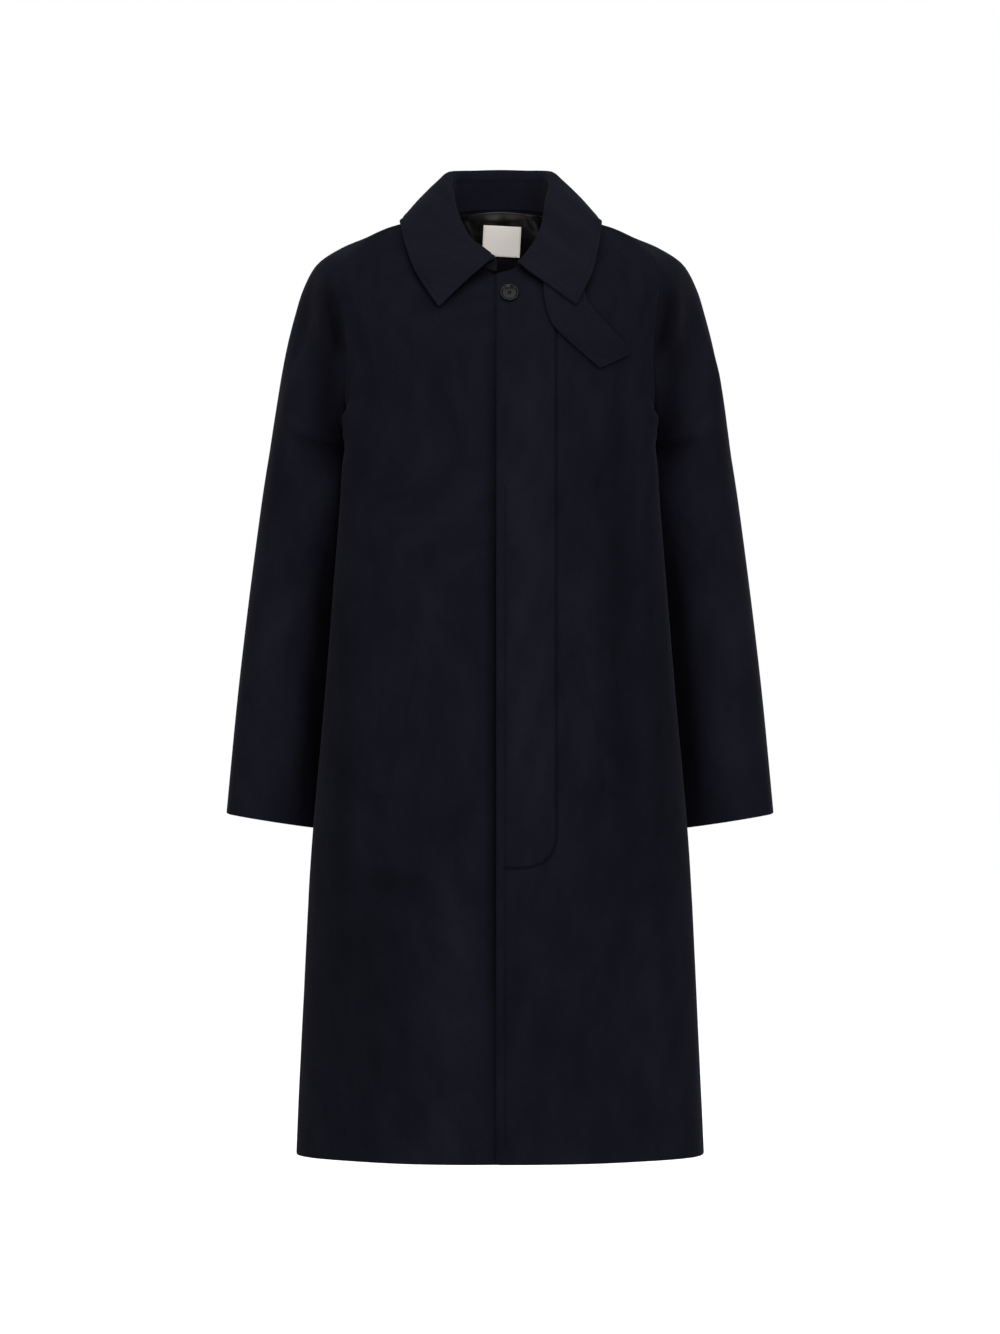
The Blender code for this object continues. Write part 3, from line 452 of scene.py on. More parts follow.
SEAM_SWELLS = ((4.5, 3.0, 0.7), (1.2, 1.4, -0.4))
BACK_SIDES = (SEWN_EDGE, TURNED_EDGE, SEWN_EDGE, SEWN_EDGE)
BACK_CREASES = (
    (150, -250, 60, -420, 22, -2.0), (-150, -260, -70, -400, 24, -1.8),
    (95, -520, 120, -900, 26, -1.6), (-60, -600, -85, -1000, 24, 1.5),
)
face, back = cloth_panel("back", (0, 1, 0), MELTON_WALL, BACK_SIDES, BACK_CREASES)
face = swelled(face, BACK_SIDES, ("first", "last"), SEAM_SWELLS)
back_panel = finish_cloth("back_panel", "back", face, back, SEWN_REACH)


# Right front
# The under front, of the same melton. Its edge runs straight down under the fly, where the
# hidden buttons sit, and its side is sewn to the back and, above the underarm, to the sleeve.

FRONT_SIDES = (SEWN_EDGE, TURNED_EDGE, SEWN_EDGE, TURNED_EDGE)
RIGHT_CREASES = (
    (-115, -300, -150, -380, 16, -1.2), (-60, -780, -72, -1080, 26, 1.8),
    (-140, -700, -160, -960, 24, -1.5), (-160, -783, -74, -799, 9, -0.9),
)
# Painted light and shade on the under front, as soft strokes: painted shadows beside the lapped
# edge, under the collar leaf and over the pocket bag, painted shade towards the side, and painted
# light down the middle and along the hem.
RIGHT_PAINTED_LIGHT = (
    (-48, -700, -52, -1180, 26, 0.28), (-140, -700, -150, -1140, 40, -0.18),
    (-6, -60, -6, -1180, 8, -0.65), (-176, -786, -60, -806, 14, -0.20),
    (-70, -250, -80, -560, 40, 0.08), (-176, -300, -196, -1100, 14, -0.22),
    (-96, -128, 10, -54, 7, -0.65), (-130, -8, -72, -126, 6, -0.5),
    (-180, -1120, -20, -1150, 50, 0.22),
)
face, back = cloth_panel("front_right", (0, -1, 0), MELTON_WALL, FRONT_SIDES, RIGHT_CREASES)
face = swelled(face, FRONT_SIDES, ("last",), SEAM_SWELLS)
right_front = finish_cloth("right_front", "front_right", face, back, SEWN_REACH,
                           nap_and_painted_light=strokes(face, RIGHT_PAINTED_LIGHT))


# Left front
# The upper front laps over the right one. Its turned edge is topstitched, and a second row holds
# the fly behind it, straight down and round into the edge, so that no button shows but the top one.

FLY_STEPS = 2.0
FLY_COLUMNS = 41
CURVE_ROWS = np.concatenate((np.arange(20.0, 690.0, 5.0), np.arange(690.0, 770.0, 1.6)))
LEFT_SIDES = (SEWN_EDGE + tuple(CURVE_ROWS), TURNED_EDGE,
              tuple(0.5 + FLY_STEPS * k for k in range(FLY_COLUMNS)), SEWN_EDGE)
LEFT_CREASES = (
    (128, -190, 150, -640, 20, -1.6), (120, -300, 160, -380, 15, -1.2),
    (100, -660, 118, -1060, 24, 1.4),
)
FLY_STITCH = ((66, -60), (66, -250), (66, -500), (66, -738), (64.5, -750), (59, -762), (49, -770.5),
              (36, -774.8), (22, -776), (5, -776))
# Painted light and shade on the upper front, as soft strokes: a painted highlight on the fly and
# lower down, painted shade towards the side, and painted shadows under the collar leaf and round
# the throat tab.
LEFT_PAINTED_LIGHT = (
    (32, -40, 32, -900, 30, 0.32), (132, -150, 150, -930, 20, -0.26),
    (172, -760, 196, -1180, 36, 0.20), (90, -400, 100, -760, 14, 0.10),
    (178, -300, 198, -1100, 14, -0.18), (112, -126, 6, -56, 7, -0.65),
    (47, -82, 74, -152, 6, -0.5), (58, -132, 128, -194, 6, -0.55),
    (124, -20, 90, -122, 6, -0.4), (20, -1120, 190, -1150, 50, 0.20),
)
EDGE_STITCH = ((6.2, -329), (6.2, -600), (6.2, -800), (6.2, -1098))
FLY_GROOVE = (1.8, -1.1)
EDGE_GROOVE = (1.7, -0.8)
# Painted shade along the stitched grooves: its width, and how dark it is on the fly row and the
# edge row.
STITCH_SHADE_WIDTH = 1.6
FLY_SHADE = 0.7
EDGE_SHADE = 0.3
NEAR_STEP = 2.0 * MM
LAID_STEP = 1.2 * MM
STITCH_PITCH = 3.6 * MM
STITCH_LENGTH = 2.7 * MM
THREAD_RADIUS = 0.30 * MM
THREAD_ARCH = 0.22 * MM
THREAD_SINKS = 0.10 * MM
THREAD_ROUGHNESS = 0.7
THREAD_SPECULAR = 0.02
TWISTS_TO_METRE = 2600.0
TWIST_RELIEF = 0.15 * MM


def path_steps(path, step):
    """Places at even steps along a path of straight runs, measured by its first three columns."""
    along = np.concatenate(([0.0], np.cumsum(np.linalg.norm(np.diff(path[:, :3], axis=0), axis=1))))
    wanted = np.arange(0.0, along[-1], step)
    return np.stack([np.interp(wanted, along, column) for column in path.T], axis=1)


def near_path(face, path, width):
    """How close each point is to a path seen from the front, 1 on it and 0 well beside it."""
    fine = path_steps(np.array(path, float) * MM, NEAR_STEP)
    flat = face[..., (0, 2)].reshape(-1, 2)
    nearest = np.full(len(flat), np.inf)
    for place in fine:
        nearest = np.minimum(nearest, np.sum((flat - place) ** 2, axis=1))
    return np.exp(-nearest / (width * MM) ** 2).reshape(face.shape[:2])


def grooved(face, path, width, depth):
    """A stitched line pulled into the face along a path."""
    moved = near_path(face, path, width) * depth * MM
    return face + grid_normals(face) * moved[..., None]


def surface_of(face):
    """A surface to lay things on, made of the face of a piece."""
    quads = cells(*face.shape[:2])[1]
    return BVHTree.FromPolygons([Vector(p) for p in face.reshape(-1, 3)], quads.tolist())


def laid(surface, path):
    """Points on a surface along a path seen from the front, and the outward way at each."""
    points, outs = [], []
    for x, z in path:
        place, way, _, _ = surface.ray_cast(Vector((x, -1.0, z)), Vector((0.0, 1.0, 0.0)))
        points.append(place)
        outs.append(way if way.y < 0 else -way)
    return np.array(points), np.array(outs)


def one_strand():
    """A single rounded strand, lying along x from -1 to 1, as points and faces."""
    bpy.ops.object.select_all(action="DESELECT")
    bpy.ops.mesh.primitive_uv_sphere_add(segments=6, ring_count=6, radius=1.0,
                                         rotation=(0, math.pi / 2, 0))
    bpy.ops.object.transform_apply(location=True, rotation=True, scale=True)
    strand = bpy.context.active_object
    bpy.ops.object.mode_set(mode="EDIT")
    bpy.ops.mesh.select_all(action="SELECT")
    bpy.ops.mesh.normals_make_consistent(inside=False)
    bpy.ops.object.mode_set(mode="OBJECT")
    points = np.array([v.co for v in strand.data.vertices])
    faces = [tuple(p.vertices) for p in strand.data.polygons]
    bpy.data.objects.remove(strand, do_unlink=True)
    return points, faces


def thread_material(name, colour):
    material, tree, shader = bare_material(name, colour, THREAD_ROUGHNESS, THREAD_SPECULAR)
    place = node_of(tree, "ShaderNodeTexCoord")
    twist = node_of(tree, "ShaderNodeTexNoise", Scale=TWISTS_TO_METRE, Detail=2.0)
    wired(tree, place, "Object", twist, "Vector")
    ramp = node_of(tree, "ShaderNodeMapRange", From_Min=0.3, From_Max=0.7)
    wired(tree, twist, 0, ramp, "Value")
    tone = mixed(tree, [0.6 * part for part in colour], [1.3 * part for part in colour], ramp)
    wired(tree, tone, "Result", shader, "Base Color")
    raised(tree, shader, twist, TWIST_RELIEF)
    return material


STRAND, STRAND_FACES = one_strand()


def threads(name, starts, ends, outs, radius, arch, material):
    """Copies of the strand, each arched from one point to another, joined in one piece."""
    run = (ends - starts)[:, None] / 2
    beside = unit(np.cross(outs, ends - starts))[:, None]
    along, across, up = (STRAND[None, :, axis, None] for axis in range(3))
    lift = outs[:, None] * (up * radius + arch * (1.0 - along ** 2))
    points = ((starts + ends) / 2)[:, None] + run * along + beside * across * radius + lift
    count = len(STRAND)
    faces = [tuple(k * count + p for p in face)
             for k in range(len(starts)) for face in STRAND_FACES]
    piece = mesh_piece(name, points.reshape(-1, 3).tolist(), faces, material)
    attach(piece, "root")
    return piece


def stitched(name, points, outs, material):
    """A row of topstitches along points that lie in a groove."""
    line = path_steps(np.concatenate((points, outs), axis=1), STITCH_PITCH)
    along = unit(np.gradient(line[:, :3], axis=0))
    out = unit(line[:, 3:])
    starts = line[:, :3] - out * THREAD_SINKS
    ends = starts + along * STITCH_LENGTH
    return threads(name, starts, ends, out, THREAD_RADIUS, THREAD_ARCH, material)


NAVY_THREAD = thread_material("navy thread", (0.0014, 0.0015, 0.0024))
face, back = cloth_panel("front_left", (0, -1, 0), None, LEFT_SIDES, LEFT_CREASES)
face = swelled(face, LEFT_SIDES, ("last",), SEAM_SWELLS)
face = grooved(face, FLY_STITCH, *FLY_GROOVE)
face = grooved(face, EDGE_STITCH, *EDGE_GROOVE)
# The upper front's painted light and shade, with painted shade along both stitched lines.
nap_and_painted_light = (strokes(face, LEFT_PAINTED_LIGHT) - FLY_SHADE * near_path(face, FLY_STITCH, STITCH_SHADE_WIDTH)
       - EDGE_SHADE * near_path(face, EDGE_STITCH, STITCH_SHADE_WIDTH))
left_front = finish_cloth("left_front", "front_left", face, back, SEWN_REACH, nap_and_painted_light=nap_and_painted_light)
left_surface = surface_of(face)
for name, path in (("fly_stitches", FLY_STITCH), ("edge_stitches", EDGE_STITCH)):
    points, outs = laid(left_surface, path_steps(np.array(path, float) * MM, LAID_STEP))
    stitched(name, points, outs, NAVY_THREAD)


# Sleeves
# Raglan sleeves run up to the neck. Each is a front and a back half, joined by the overarm seam
# that rounds over the shoulder, and by the underarm seam. Their painted light and shade lies alike
# left and right.

SLEEVE_SIDES = (SEWN_EDGE, TURNED_EDGE, SEWN_EDGE, SEWN_EDGE)
SLEEVE_PIECES = {
    "sleeve_left_front": ((0, -1, 0), (
        (216, -78, 196, -190, 9, 3.0), (232, -100, 236, -210, 14, -3.0),
        (246, -330, 226, -480, 18, -2.5), (262, -480, 240, -600, 18, 2.0))),
    "sleeve_left_back": ((0, 1, 0), (
        (222, -90, 214, -220, 16, -3.0), (250, -420, 232, -560, 20, -2.5))),
    "sleeve_right_front": ((0, -1, 0), (
        (-208, -92, -190, -172, 6, -2.4), (-196, -110, -186, -190, 5, 2.0),
        (-216, -96, -204, -190, 7, 1.8), (-240, -250, -226, -400, 18, -2.5),
        (-262, -470, -244, -600, 18, 2.0))),
    "sleeve_right_back": ((0, 1, 0), (
        (-220, -90, -212, -230, 16, -3.0), (-252, -430, -234, -560, 20, -2.5))),
}
# Painted light and shade on the sleeves, the same on both: painted shade down the inner side
# against the body and under the collar leaf, painted light on the outer side and on the top of the
# shoulder.
SLEEVE_PAINTED_LIGHT = (
    (194, -300, 238, -820, 18, -0.75), (208, -70, 184, -190, 11, -0.55),
    (206, -110, 202, -330, 17, -0.50), (262, -330, 304, -800, 30, 0.24),
    (150, -30, 210, -50, 18, 0.50), (240, -110, 246, -330, 12, 0.20),
    (130, -8, 84, -118, 7, -0.4),
)
for node, (facing, creases) in SLEEVE_PIECES.items():
    face, back = cloth_panel(node, facing, MELTON_WALL, SLEEVE_SIDES, creases)
    face = swelled(face, SLEEVE_SIDES, ("first", "last"), SEAM_SWELLS)
    nap_and_painted_light = strokes(np.abs(face) * (1, 1, -1), SLEEVE_PAINTED_LIGHT)
    half = finish_cloth(node.replace("sleeve_", "raglan_"), node, face, back, SEWN_REACH, nap_and_painted_light=nap_and_painted_light)


# Pocket welts
# Two slanting welts of doubled melton, edge-stitched flat on the fronts, so close in colour that
# they barely show.

WELT_EDGE = (0.3, 1.2, 2.6, 4.5, 7.0)
WELT_SIDES = (WELT_EDGE, WELT_EDGE, WELT_EDGE, WELT_EDGE)
WELT_WALL = 1.8 * MM
WELT_CELL = 3.0 * MM
WELT_REACH = 0.1 * MM
WELT_CLOSER = 0.45 * MM
WELT_AT_EDGE = 0.12
WELT_INSIDE = 0.42
WELT_SLOPE = 9.0 * MM
for side, painted_light_table in (("left", LEFT_PAINTED_LIGHT), ("right", RIGHT_PAINTED_LIGHT)):
    node = f"pocket_welt_{side}"
    face, back = cloth_panel(node, (0, -1, 0), WELT_WALL, WELT_SIDES, cell=WELT_CELL)
    edge = from_edges(face, WELT_SIDES, ("top", "bottom", "first", "last"))
    full = WELT_AT_EDGE + (WELT_INSIDE - WELT_AT_EDGE) * eased(edge / WELT_SLOPE)
    thick = face - back
    back = back - unit(thick) * WELT_CLOSER
    face = back + thick * full[..., None]
    # Each welt takes the painted light and shade of the front it lies on.
    welt = finish_cloth(f"welt_{side}", node, face, back, WELT_REACH,
                        nap_and_painted_light=strokes(face, painted_light_table))


# Neck lining
# Dark satin lines the inside of the back neck and runs out over the backs of the shoulders. It is
# cut a little full, so it wrinkles under the collar stand. Its soft grey shine is partly its own
# gloss and partly a painted highlight band under the stand.

LINING_WALL = 0.8 * MM
LINING_CELL = 2.5 * MM
LINING_EDGE = (0.4, 2.0, 4.0, 6.5)
LINING_SIDES = (LINING_EDGE, LINING_EDGE, LINING_EDGE, LINING_EDGE)
LINING_CREASES = (
    (-24, 4, 4, 2, 5, 2.6), (4, 3, 36, 4, 5, 2.8), (3, 16, 4, -8, 2.4, -1.6),
    (34, 14, 44, -12, 3.0, 2.2), (40, 18, 52, -6, 3.0, -1.6), (46, 8, 56, -22, 3.5, 1.8),
    (-40, 6, -30, -24, 4.0, 1.8), (-50, 10, -42, -30, 4.0, -1.6), (-60, -30, 60, -48, 7.0, -1.2),
)
# A painted highlight band along the lining under the stand, and on the wrinkles at its sides, as
# soft strokes.
LINING_PAINTED_SHINE = (
    (-40, 8, 54, 8, 4.5, 10.0), (30, 18, 52, -24, 4.0, 6.0), (-44, 4, -30, -16, 4.0, 2.0),
)
SATIN_BLACK = (0.0014, 0.0012, 0.0012)
SATIN_ROUGHNESS = 0.34
SATIN_SPECULAR = 0.16
SATIN_STRETCH = 0.5
SATIN_RELIEF = 0.10 * MM
LINING_SIZES = {
    "back_neck": (0.28, 0.14), "sleeve_left": (0.11, 0.09), "sleeve_right": (0.11, 0.09),
}


def satin(name, colour):
    material, tree, shader = bare_material(name, colour, SATIN_ROUGHNESS, SATIN_SPECULAR)
    shader.inputs["Anisotropic"].default_value = SATIN_STRETCH
    cloudy = mixed(tree, [0.75 * part for part in colour], [1.3 * part for part in colour],
                   spots(tree, 60, 25, 3.0))
    # The satin's colour lightened by the painted highlight.
    wired(tree, shaded_by_painted_light(tree, cloudy), "Vector", shader, "Base Color")
    raised(tree, shader, spots(tree, 2600, 700, 2.0), SATIN_RELIEF)
    return material


LINING_SATIN = satin("lining satin", SATIN_BLACK)
for place, (width, height) in LINING_SIZES.items():
    node = f"{place}_lining"
    face, back = cloth_panel(node, (0, -1, 0), LINING_WALL, LINING_SIDES, LINING_CREASES,
                             LINING_CELL)
    lining = finish_cloth(f"{place}_satin", node, face, back, LINING_WALL / 2, LINING_SATIN,
                          strokes(face, LINING_PAINTED_SHINE))


# Collar
# A stand sewn to the neckline carries the fall, which rolls over it and lies open in two pointed
# leaves. Both are melton over canvas, and the fall's edge is topstitched all round.

STAND_WALL = 3.0 * MM
FALL_WALL = 4.0 * MM
STAND_CELL = 3.0 * MM
FALL_CELL = 2.5 * MM
STAND_EDGE = (0.8, 1.9, 3.0, 4.1, 5.6)
STAND_SIDES = (STAND_EDGE, STAND_EDGE, (1.5, 3.5, 6.0), (1.5, 3.5, 6.0))
FALL_EDGE = (1.8, 3.4, 4.5, 5.6, 6.7, 8.2, 11.0)
FALL_SIDES = ((0.8, 2.0), FALL_EDGE, FALL_EDGE, FALL_EDGE)
STAND_SWELLS = ((3.0, 1.1, -0.5),)
STITCHED_SWELLS = ((5.6, 1.3, -0.6), (2.6, 1.8, 0.25), (9.5, 2.6, 0.2))
STAND_STITCH_ROW = STAND_EDGE.index(3.0)
FALL_STITCH_ROW = FALL_EDGE.index(5.6)
FALL_STITCH_START = 6
# Painted light on the collar's fall, which faces up towards the lamps.
FALL_PAINTED_LIGHT = 0.28
FALL_CREASES = (
    (-62, 30, -84, -20, 14, -0.9), (66, 20, 90, -30, 15, -0.8), (-96, -40, -60, -90, 18, 0.8),
)


def beside_edge(face, index, first_row):
    """Points and outward ways on a line beside the first edge, the bottom and the last edge."""
    turn = -1 - index
    lines = []
    for grid in (face, grid_normals(face)):
        down, up = grid[first_row:turn, index], grid[first_row:turn, turn][::-1]
        lines.append(np.concatenate((down, grid[turn, index:turn], up)))
    return lines


face, back = cloth_panel("collar_stand", (0, -1, 0), STAND_WALL, STAND_SIDES, cell=STAND_CELL)
face = swelled(face, STAND_SIDES, ("top",), STAND_SWELLS)
stand = finish_cloth("stand_of_collar", "collar_stand", face, back, STAND_WALL / 2)
stitched("stand_stitches", face[STAND_STITCH_ROW], grid_normals(face)[STAND_STITCH_ROW],
         NAVY_THREAD)

face, back = cloth_panel("collar_fall", (0, 0, 1), FALL_WALL, FALL_SIDES, FALL_CREASES,
                         FALL_CELL)
face = swelled(face, FALL_SIDES, ("first", "last", "bottom"), STITCHED_SWELLS)
fall = finish_cloth("fall_of_collar", "collar_fall", face, back, FALL_WALL / 2, nap_and_painted_light=FALL_PAINTED_LIGHT)
points, outs = beside_edge(face, FALL_STITCH_ROW, FALL_STITCH_START)
stitched("collar_stitches", points, outs, NAVY_THREAD)


# Throat tab
# A doubled strap under the left leaf, topstitched round its edge. It buttons across the throat in
# bad weather and otherwise hangs loose down the left front.

TAB_WALL = 4.4 * MM
TAB_CELL = 2.0 * MM
TAB_EDGE = (1.8, 3.2, 4.3, 5.6, 7.2, 9.2)
TAB_SIDES = ((1.8, 3.6, 6.0), TAB_EDGE, TAB_EDGE, TAB_EDGE)
TAB_SWELLS = ((4.3, 1.2, -0.6), (2.0, 1.5, 0.2), (7.6, 2.2, 0.2))
# Painted light on the throat tab, a little lighter all over.
TAB_PAINTED_LIGHT = 0.10
TAB_STITCH_ROW = TAB_EDGE.index(4.3)
TAB_STITCH_START = 8
TAB_GROOVE = (1.3, -0.5)
TAB_HOLE = ((106.0, -158.6), (124.1, -178.5))
TWIST_PITCH = 0.85 * MM
TWIST_LENGTH = 2.1 * MM
TWIST_RADIUS = 0.42 * MM
TWIST_ARCH = 0.35 * MM
TWIST_FAN = np.radians((-60, -30, 0, 30, 60))
SLIT_HALF = 0.25 * MM


def buttonhole(name, surface, ends, material):
    """Close strands worked across both lips of a slit, and fanned round its two ends."""
    start, end = np.array(ends) * MM
    along = unit(end - start)
    across = np.array((-along[1], along[0]))
    steps = np.arange(0.0, np.linalg.norm(end - start), TWIST_PITCH)
    spokes = [(start + along * step, across * side) for side in (-1, 1) for step in steps]
    spokes += [(place, way * math.cos(turn) + across * math.sin(turn))
               for place, way in ((start, -along), (end, along)) for turn in TWIST_FAN]
    starts, outs = laid(surface, [place + spoke * SLIT_HALF for place, spoke in spokes])
    outer = [place + spoke * (SLIT_HALF + TWIST_LENGTH) for place, spoke in spokes]
    ends = laid(surface, outer)[0]
    return threads(name, starts, ends, outs, TWIST_RADIUS, TWIST_ARCH, material)


HOLE_TWIST = thread_material("buttonhole twist", (0.0026, 0.0026, 0.0036))
face, back = cloth_panel("throat_tab", (0, -1, 0), TAB_WALL, TAB_SIDES, cell=TAB_CELL)
face = swelled(face, TAB_SIDES, ("first", "last", "bottom"), TAB_SWELLS)
face = grooved(face, TAB_HOLE, *TAB_GROOVE)
tab = finish_cloth("tab_strap", "throat_tab", face, back, TAB_WALL / 2, nap_and_painted_light=TAB_PAINTED_LIGHT)
points, outs = beside_edge(face, TAB_STITCH_ROW, TAB_STITCH_START)
stitched("tab_stitches", points, outs, NAVY_THREAD)
buttonhole("tab_buttonhole", surface_of(face), TAB_HOLE, HOLE_TWIST)


# Neck button and its hole
# A turned black button with a raised rim, a dished middle and four holes, sewn on with a cross of
# thread, and the worked buttonhole that it stands on, which slants down from it.

BUTTON_RADIUS = 11.0 * MM
BUTTON_HEIGHT = 3.8 * MM
BUTTON_RIM = 1.7 * MM
BUTTON_SLOPE = 1.2 * MM
BUTTON_DISH = 1.0 * MM
BUTTON_HOLE = 0.95 * MM
BUTTON_SPREAD = 1.75 * MM
BUTTON_TURN = math.radians(38)
BUTTON_ROUNDING = 0.55 * MM
SHARP_EDGE = math.radians(25)
SMOOTH_EDGE = math.radians(32)
HORN_BLACK = (0.0016, 0.0015, 0.0017)
HORN_ROUGHNESS = 0.14
HORN_SPECULAR = 0.02
HORN_COAT = 0.04
HORN_COAT_ROUGHNESS = 0.05
SEWING_RADIUS = 0.36 * MM
SEWING_ARCH = 0.5 * MM
SEWING_APART = 0.42 * MM
SEWING_SINKS = 0.7 * MM
NECK_HOLE = ((7.0, -101.3), (34.7, -117.5))

buttonhole("neck_buttonhole", left_surface, NECK_HOLE, HOLE_TWIST)

bpy.ops.object.select_all(action="DESELECT")
bpy.ops.mesh.primitive_cylinder_add(vertices=72, radius=BUTTON_RADIUS, depth=BUTTON_HEIGHT,
                                    location=(0, 0, BUTTON_HEIGHT / 2))
button = bpy.context.active_object
button.name = "turned_button"
bpy.ops.object.transform_apply(location=True, rotation=True, scale=True)
bpy.ops.object.mode_set(mode="EDIT")
bpy.ops.mesh.select_mode(type="FACE")
bpy.ops.mesh.select_all(action="DESELECT")
bpy.ops.object.mode_set(mode="OBJECT")
for polygon in button.data.polygons:
    polygon.select = polygon.normal.z > 0.9
bpy.ops.object.mode_set(mode="EDIT")
bpy.ops.mesh.inset(thickness=BUTTON_RIM)
bpy.ops.mesh.inset(thickness=BUTTON_SLOPE)
bpy.ops.transform.translate(value=(0, 0, -BUTTON_DISH))
bpy.ops.object.mode_set(mode="OBJECT")
rounded = button.modifiers.new("rounded", "BEVEL")
rounded.width = BUTTON_ROUNDING
rounded.segments = 3
rounded.limit_method = "ANGLE"
rounded.angle_limit = SHARP_EDGE
bpy.ops.object.modifier_apply(modifier="rounded")
HOLES = [BUTTON_SPREAD * np.array((math.cos(turn), math.sin(turn)))
         for turn in BUTTON_TURN + math.pi / 2 * np.arange(4)]
for x, y in HOLES:
    bpy.ops.object.select_all(action="DESELECT")
    bpy.ops.mesh.primitive_cylinder_add(vertices=20, radius=BUTTON_HOLE, depth=4 * BUTTON_HEIGHT,
                                        location=(x, y, 0))
    drill = bpy.context.active_object
    bored = button.modifiers.new("bored", "BOOLEAN")
    bored.operation = "DIFFERENCE"
    bored.object = drill
    bpy.context.view_layer.objects.active = button
    bpy.ops.object.modifier_apply(modifier="bored")
    bpy.data.objects.remove(drill, do_unlink=True)

solid = np.array([v.co for v in bpy.data.objects["neck_button"].data.vertices])
outward = np.linalg.svd(solid - solid.mean(axis=0))[2][2]
outward = outward if outward[1] < 0 else -outward
seat = solid.mean(axis=0) + outward * ((solid - solid.mean(axis=0)) @ outward).min()
turned = Vector(outward).to_track_quat("Z", "Y")
button.location = seat
button.rotation_mode = "QUATERNION"
button.rotation_quaternion = turned
bpy.ops.object.select_all(action="DESELECT")
button.select_set(True)
bpy.context.view_layer.objects.active = button
bpy.ops.object.transform_apply(location=True, rotation=True, scale=True)
bpy.ops.object.shade_smooth_by_angle(angle=SMOOTH_EDGE)


def polished(name, colour):
    material, tree, shader = bare_material(name, colour, HORN_ROUGHNESS, HORN_SPECULAR)
    shader.inputs["Coat Weight"].default_value = HORN_COAT
    shader.inputs["Coat Roughness"].default_value = HORN_COAT_ROUGHNESS
    place = node_of(tree, "ShaderNodeTexCoord")
    grain = node_of(tree, "ShaderNodeTexNoise", Scale=420.0, Detail=4.0)
    wired(tree, place, "Object", grain, "Vector")
    tone = mixed(tree, [0.6 * part for part in colour], [1.7 * part for part in colour], grain)
    wired(tree, tone, "Result", shader, "Base Color")
    fine = node_of(tree, "ShaderNodeTexNoise", Scale=1500.0, Detail=2.0)
    wired(tree, place, "Object", fine, "Vector")
    raised(tree, shader, fine, 0.03 * MM)
    return material


button.data.materials.clear()
button.data.materials.append(polished("black horn", HORN_BLACK))
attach(button, "root")
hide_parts("neck_button")

dish = BUTTON_HEIGHT - BUTTON_DISH
on_button = [np.array(turned @ Vector((x, y, dish))) + seat for x, y in HOLES]
under = [np.array(turned @ Vector((x, y, 0.0))) + seat - outward * SEWING_SINKS for x, y in HOLES]
side_step = unit(np.cross(outward, (0.0, 0.0, 1.0))) * SEWING_APART
cross = [(on_button[k] + shift * side_step, on_button[k + 2] + shift * side_step)
         for k in (0, 1) for shift in (-1, 0, 1)]
cross += list(zip(under, on_button))
starts, ends = (np.array(part) for part in zip(*cross))
outs = np.array([outward] * 6 + [unit(np.cross(outward, (1.0, 0.0, 0.2)))] * 4)
threads("button_thread", starts, ends, outs, SEWING_RADIUS, SEWING_ARCH, HOLE_TWIST)


# Label
# A small off-white woven label, sewn to the lining under the stand. It is left bare.

LABEL_WALL = 0.6 * MM
LABEL_CELL = 1.5 * MM
LABEL_STITCH_ROW = 1
LABEL_EDGE = (0.3, 1.4, 3.0)
LABEL_SIDES = (LABEL_EDGE, LABEL_EDGE, LABEL_EDGE, LABEL_EDGE)
LABEL_TILT = math.radians(-3)
LABEL_WHITE = (0.40, 0.375, 0.345)
LABEL_DARK = (0.365, 0.34, 0.315)
LABEL_LIGHT = (0.435, 0.41, 0.38)
LABEL_THREAD = (0.30, 0.28, 0.25)


def woven_label():
    material, tree, shader = bare_material("woven label", LABEL_WHITE, 0.75, 0.1)
    weave = spots(tree, 2400, 2400, 2.0)
    wired(tree, mixed(tree, LABEL_DARK, LABEL_LIGHT, weave), "Result", shader, "Base Color")
    raised(tree, shader, weave, 0.12 * MM)
    return material


def tilted(grid, middle):
    """The grid turned a little in its own plane, as the label is sewn on."""
    x, z = grid[..., 0] - middle[0], grid[..., 2] - middle[2]
    turned = grid.copy()
    turned[..., 0] = middle[0] + x * math.cos(LABEL_TILT) - z * math.sin(LABEL_TILT)
    turned[..., 2] = middle[2] + x * math.sin(LABEL_TILT) + z * math.cos(LABEL_TILT)
    return turned


face, back = cloth_panel("neck_label", (0, -1, 0), LABEL_WALL, LABEL_SIDES, cell=LABEL_CELL)
middle = face.reshape(-1, 3).mean(axis=0)
face, back = tilted(face, middle), tilted(back, middle)
label = finish_cloth("bare_label", "neck_label", face, back, LABEL_WALL / 2, woven_label())
points, outs = beside_edge(face, LABEL_STITCH_ROW, LABEL_STITCH_ROW)
stitched("label_stitches", points, outs, thread_material("label thread", LABEL_THREAD))


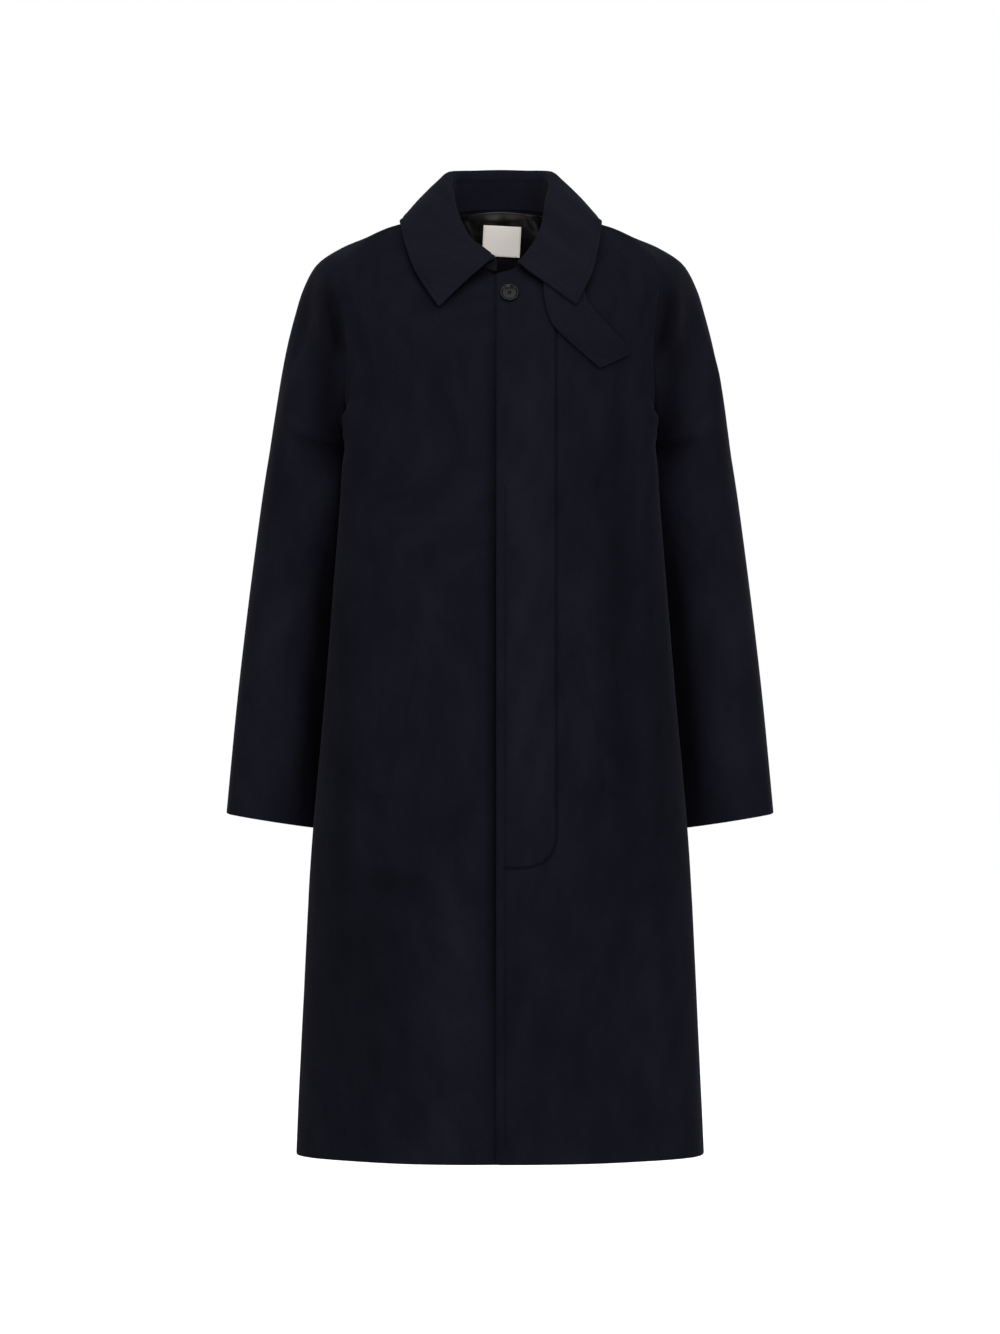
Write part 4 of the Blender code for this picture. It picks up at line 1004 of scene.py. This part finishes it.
# Floor, light and camera
# The coat is shown filled out, held up above a white studio floor, under broad soft lights, and
# seen straight from the front at the height of its middle.

CAMERA_PLACE = (0.0, -5.5, -0.541)
PHOTO_ROWS = 1334
PIXEL = 1.2 * MM
SENSOR = 36.0
FLOOR_LEVEL = -1.52
FLOOR_SIZE = 60.0
LIT_POINT = (0.0, 0.0, -0.45)

bpy.ops.object.select_all(action="DESELECT")
bpy.ops.mesh.primitive_plane_add(size=FLOOR_SIZE, location=(0.0, 0.0, FLOOR_LEVEL))
floor = bpy.context.active_object
floor.name = "studio_floor"
floor_paint = bare_material("studio floor", (1.0, 1.0, 1.0), 0.9, 0.0)[0]
floor.data.materials.append(floor_paint)

world = bpy.data.worlds.new("studio")
world.use_nodes = True
world.node_tree.nodes["Background"].inputs["Color"].default_value = (1.0, 1.0, 1.0, 1.0)
world.node_tree.nodes["Background"].inputs["Strength"].default_value = 1.0
bpy.context.scene.world = world
bpy.context.scene.view_settings.view_transform = "Standard"

LIGHTS = {
    "key": ((2.1, -3.2, 1.7), 1.4, 130.0),
    "fill": ((-2.3, -3.0, 1.0), 1.8, 95.0),
    "front": ((0.4, -4.5, 2.0), 1.4, 350.0),
    "top": ((0.0, -1.2, 2.6), 1.6, 60.0),
}
for name, (place, size, power) in LIGHTS.items():
    lamp = bpy.data.lights.new(name, "AREA")
    lamp.shape = "SQUARE"
    lamp.size = size
    lamp.energy = power
    holder = bpy.data.objects.new(name, lamp)
    holder.location = place
    aim = Vector(LIT_POINT) - Vector(place)
    holder.rotation_euler = aim.to_track_quat("-Z", "Y").to_euler()
    bpy.context.scene.collection.objects.link(holder)

camera = bpy.data.cameras.new("camera")
camera.sensor_width = SENSOR
camera.lens = SENSOR * abs(CAMERA_PLACE[1]) / (PHOTO_ROWS * PIXEL)
viewer = bpy.data.objects.new("camera", camera)
viewer.location = CAMERA_PLACE
viewer.rotation_euler = (math.radians(90.0), 0.0, 0.0)
bpy.context.scene.collection.objects.link(viewer)
bpy.context.scene.camera = viewer

bpy.context.view_layer.update()
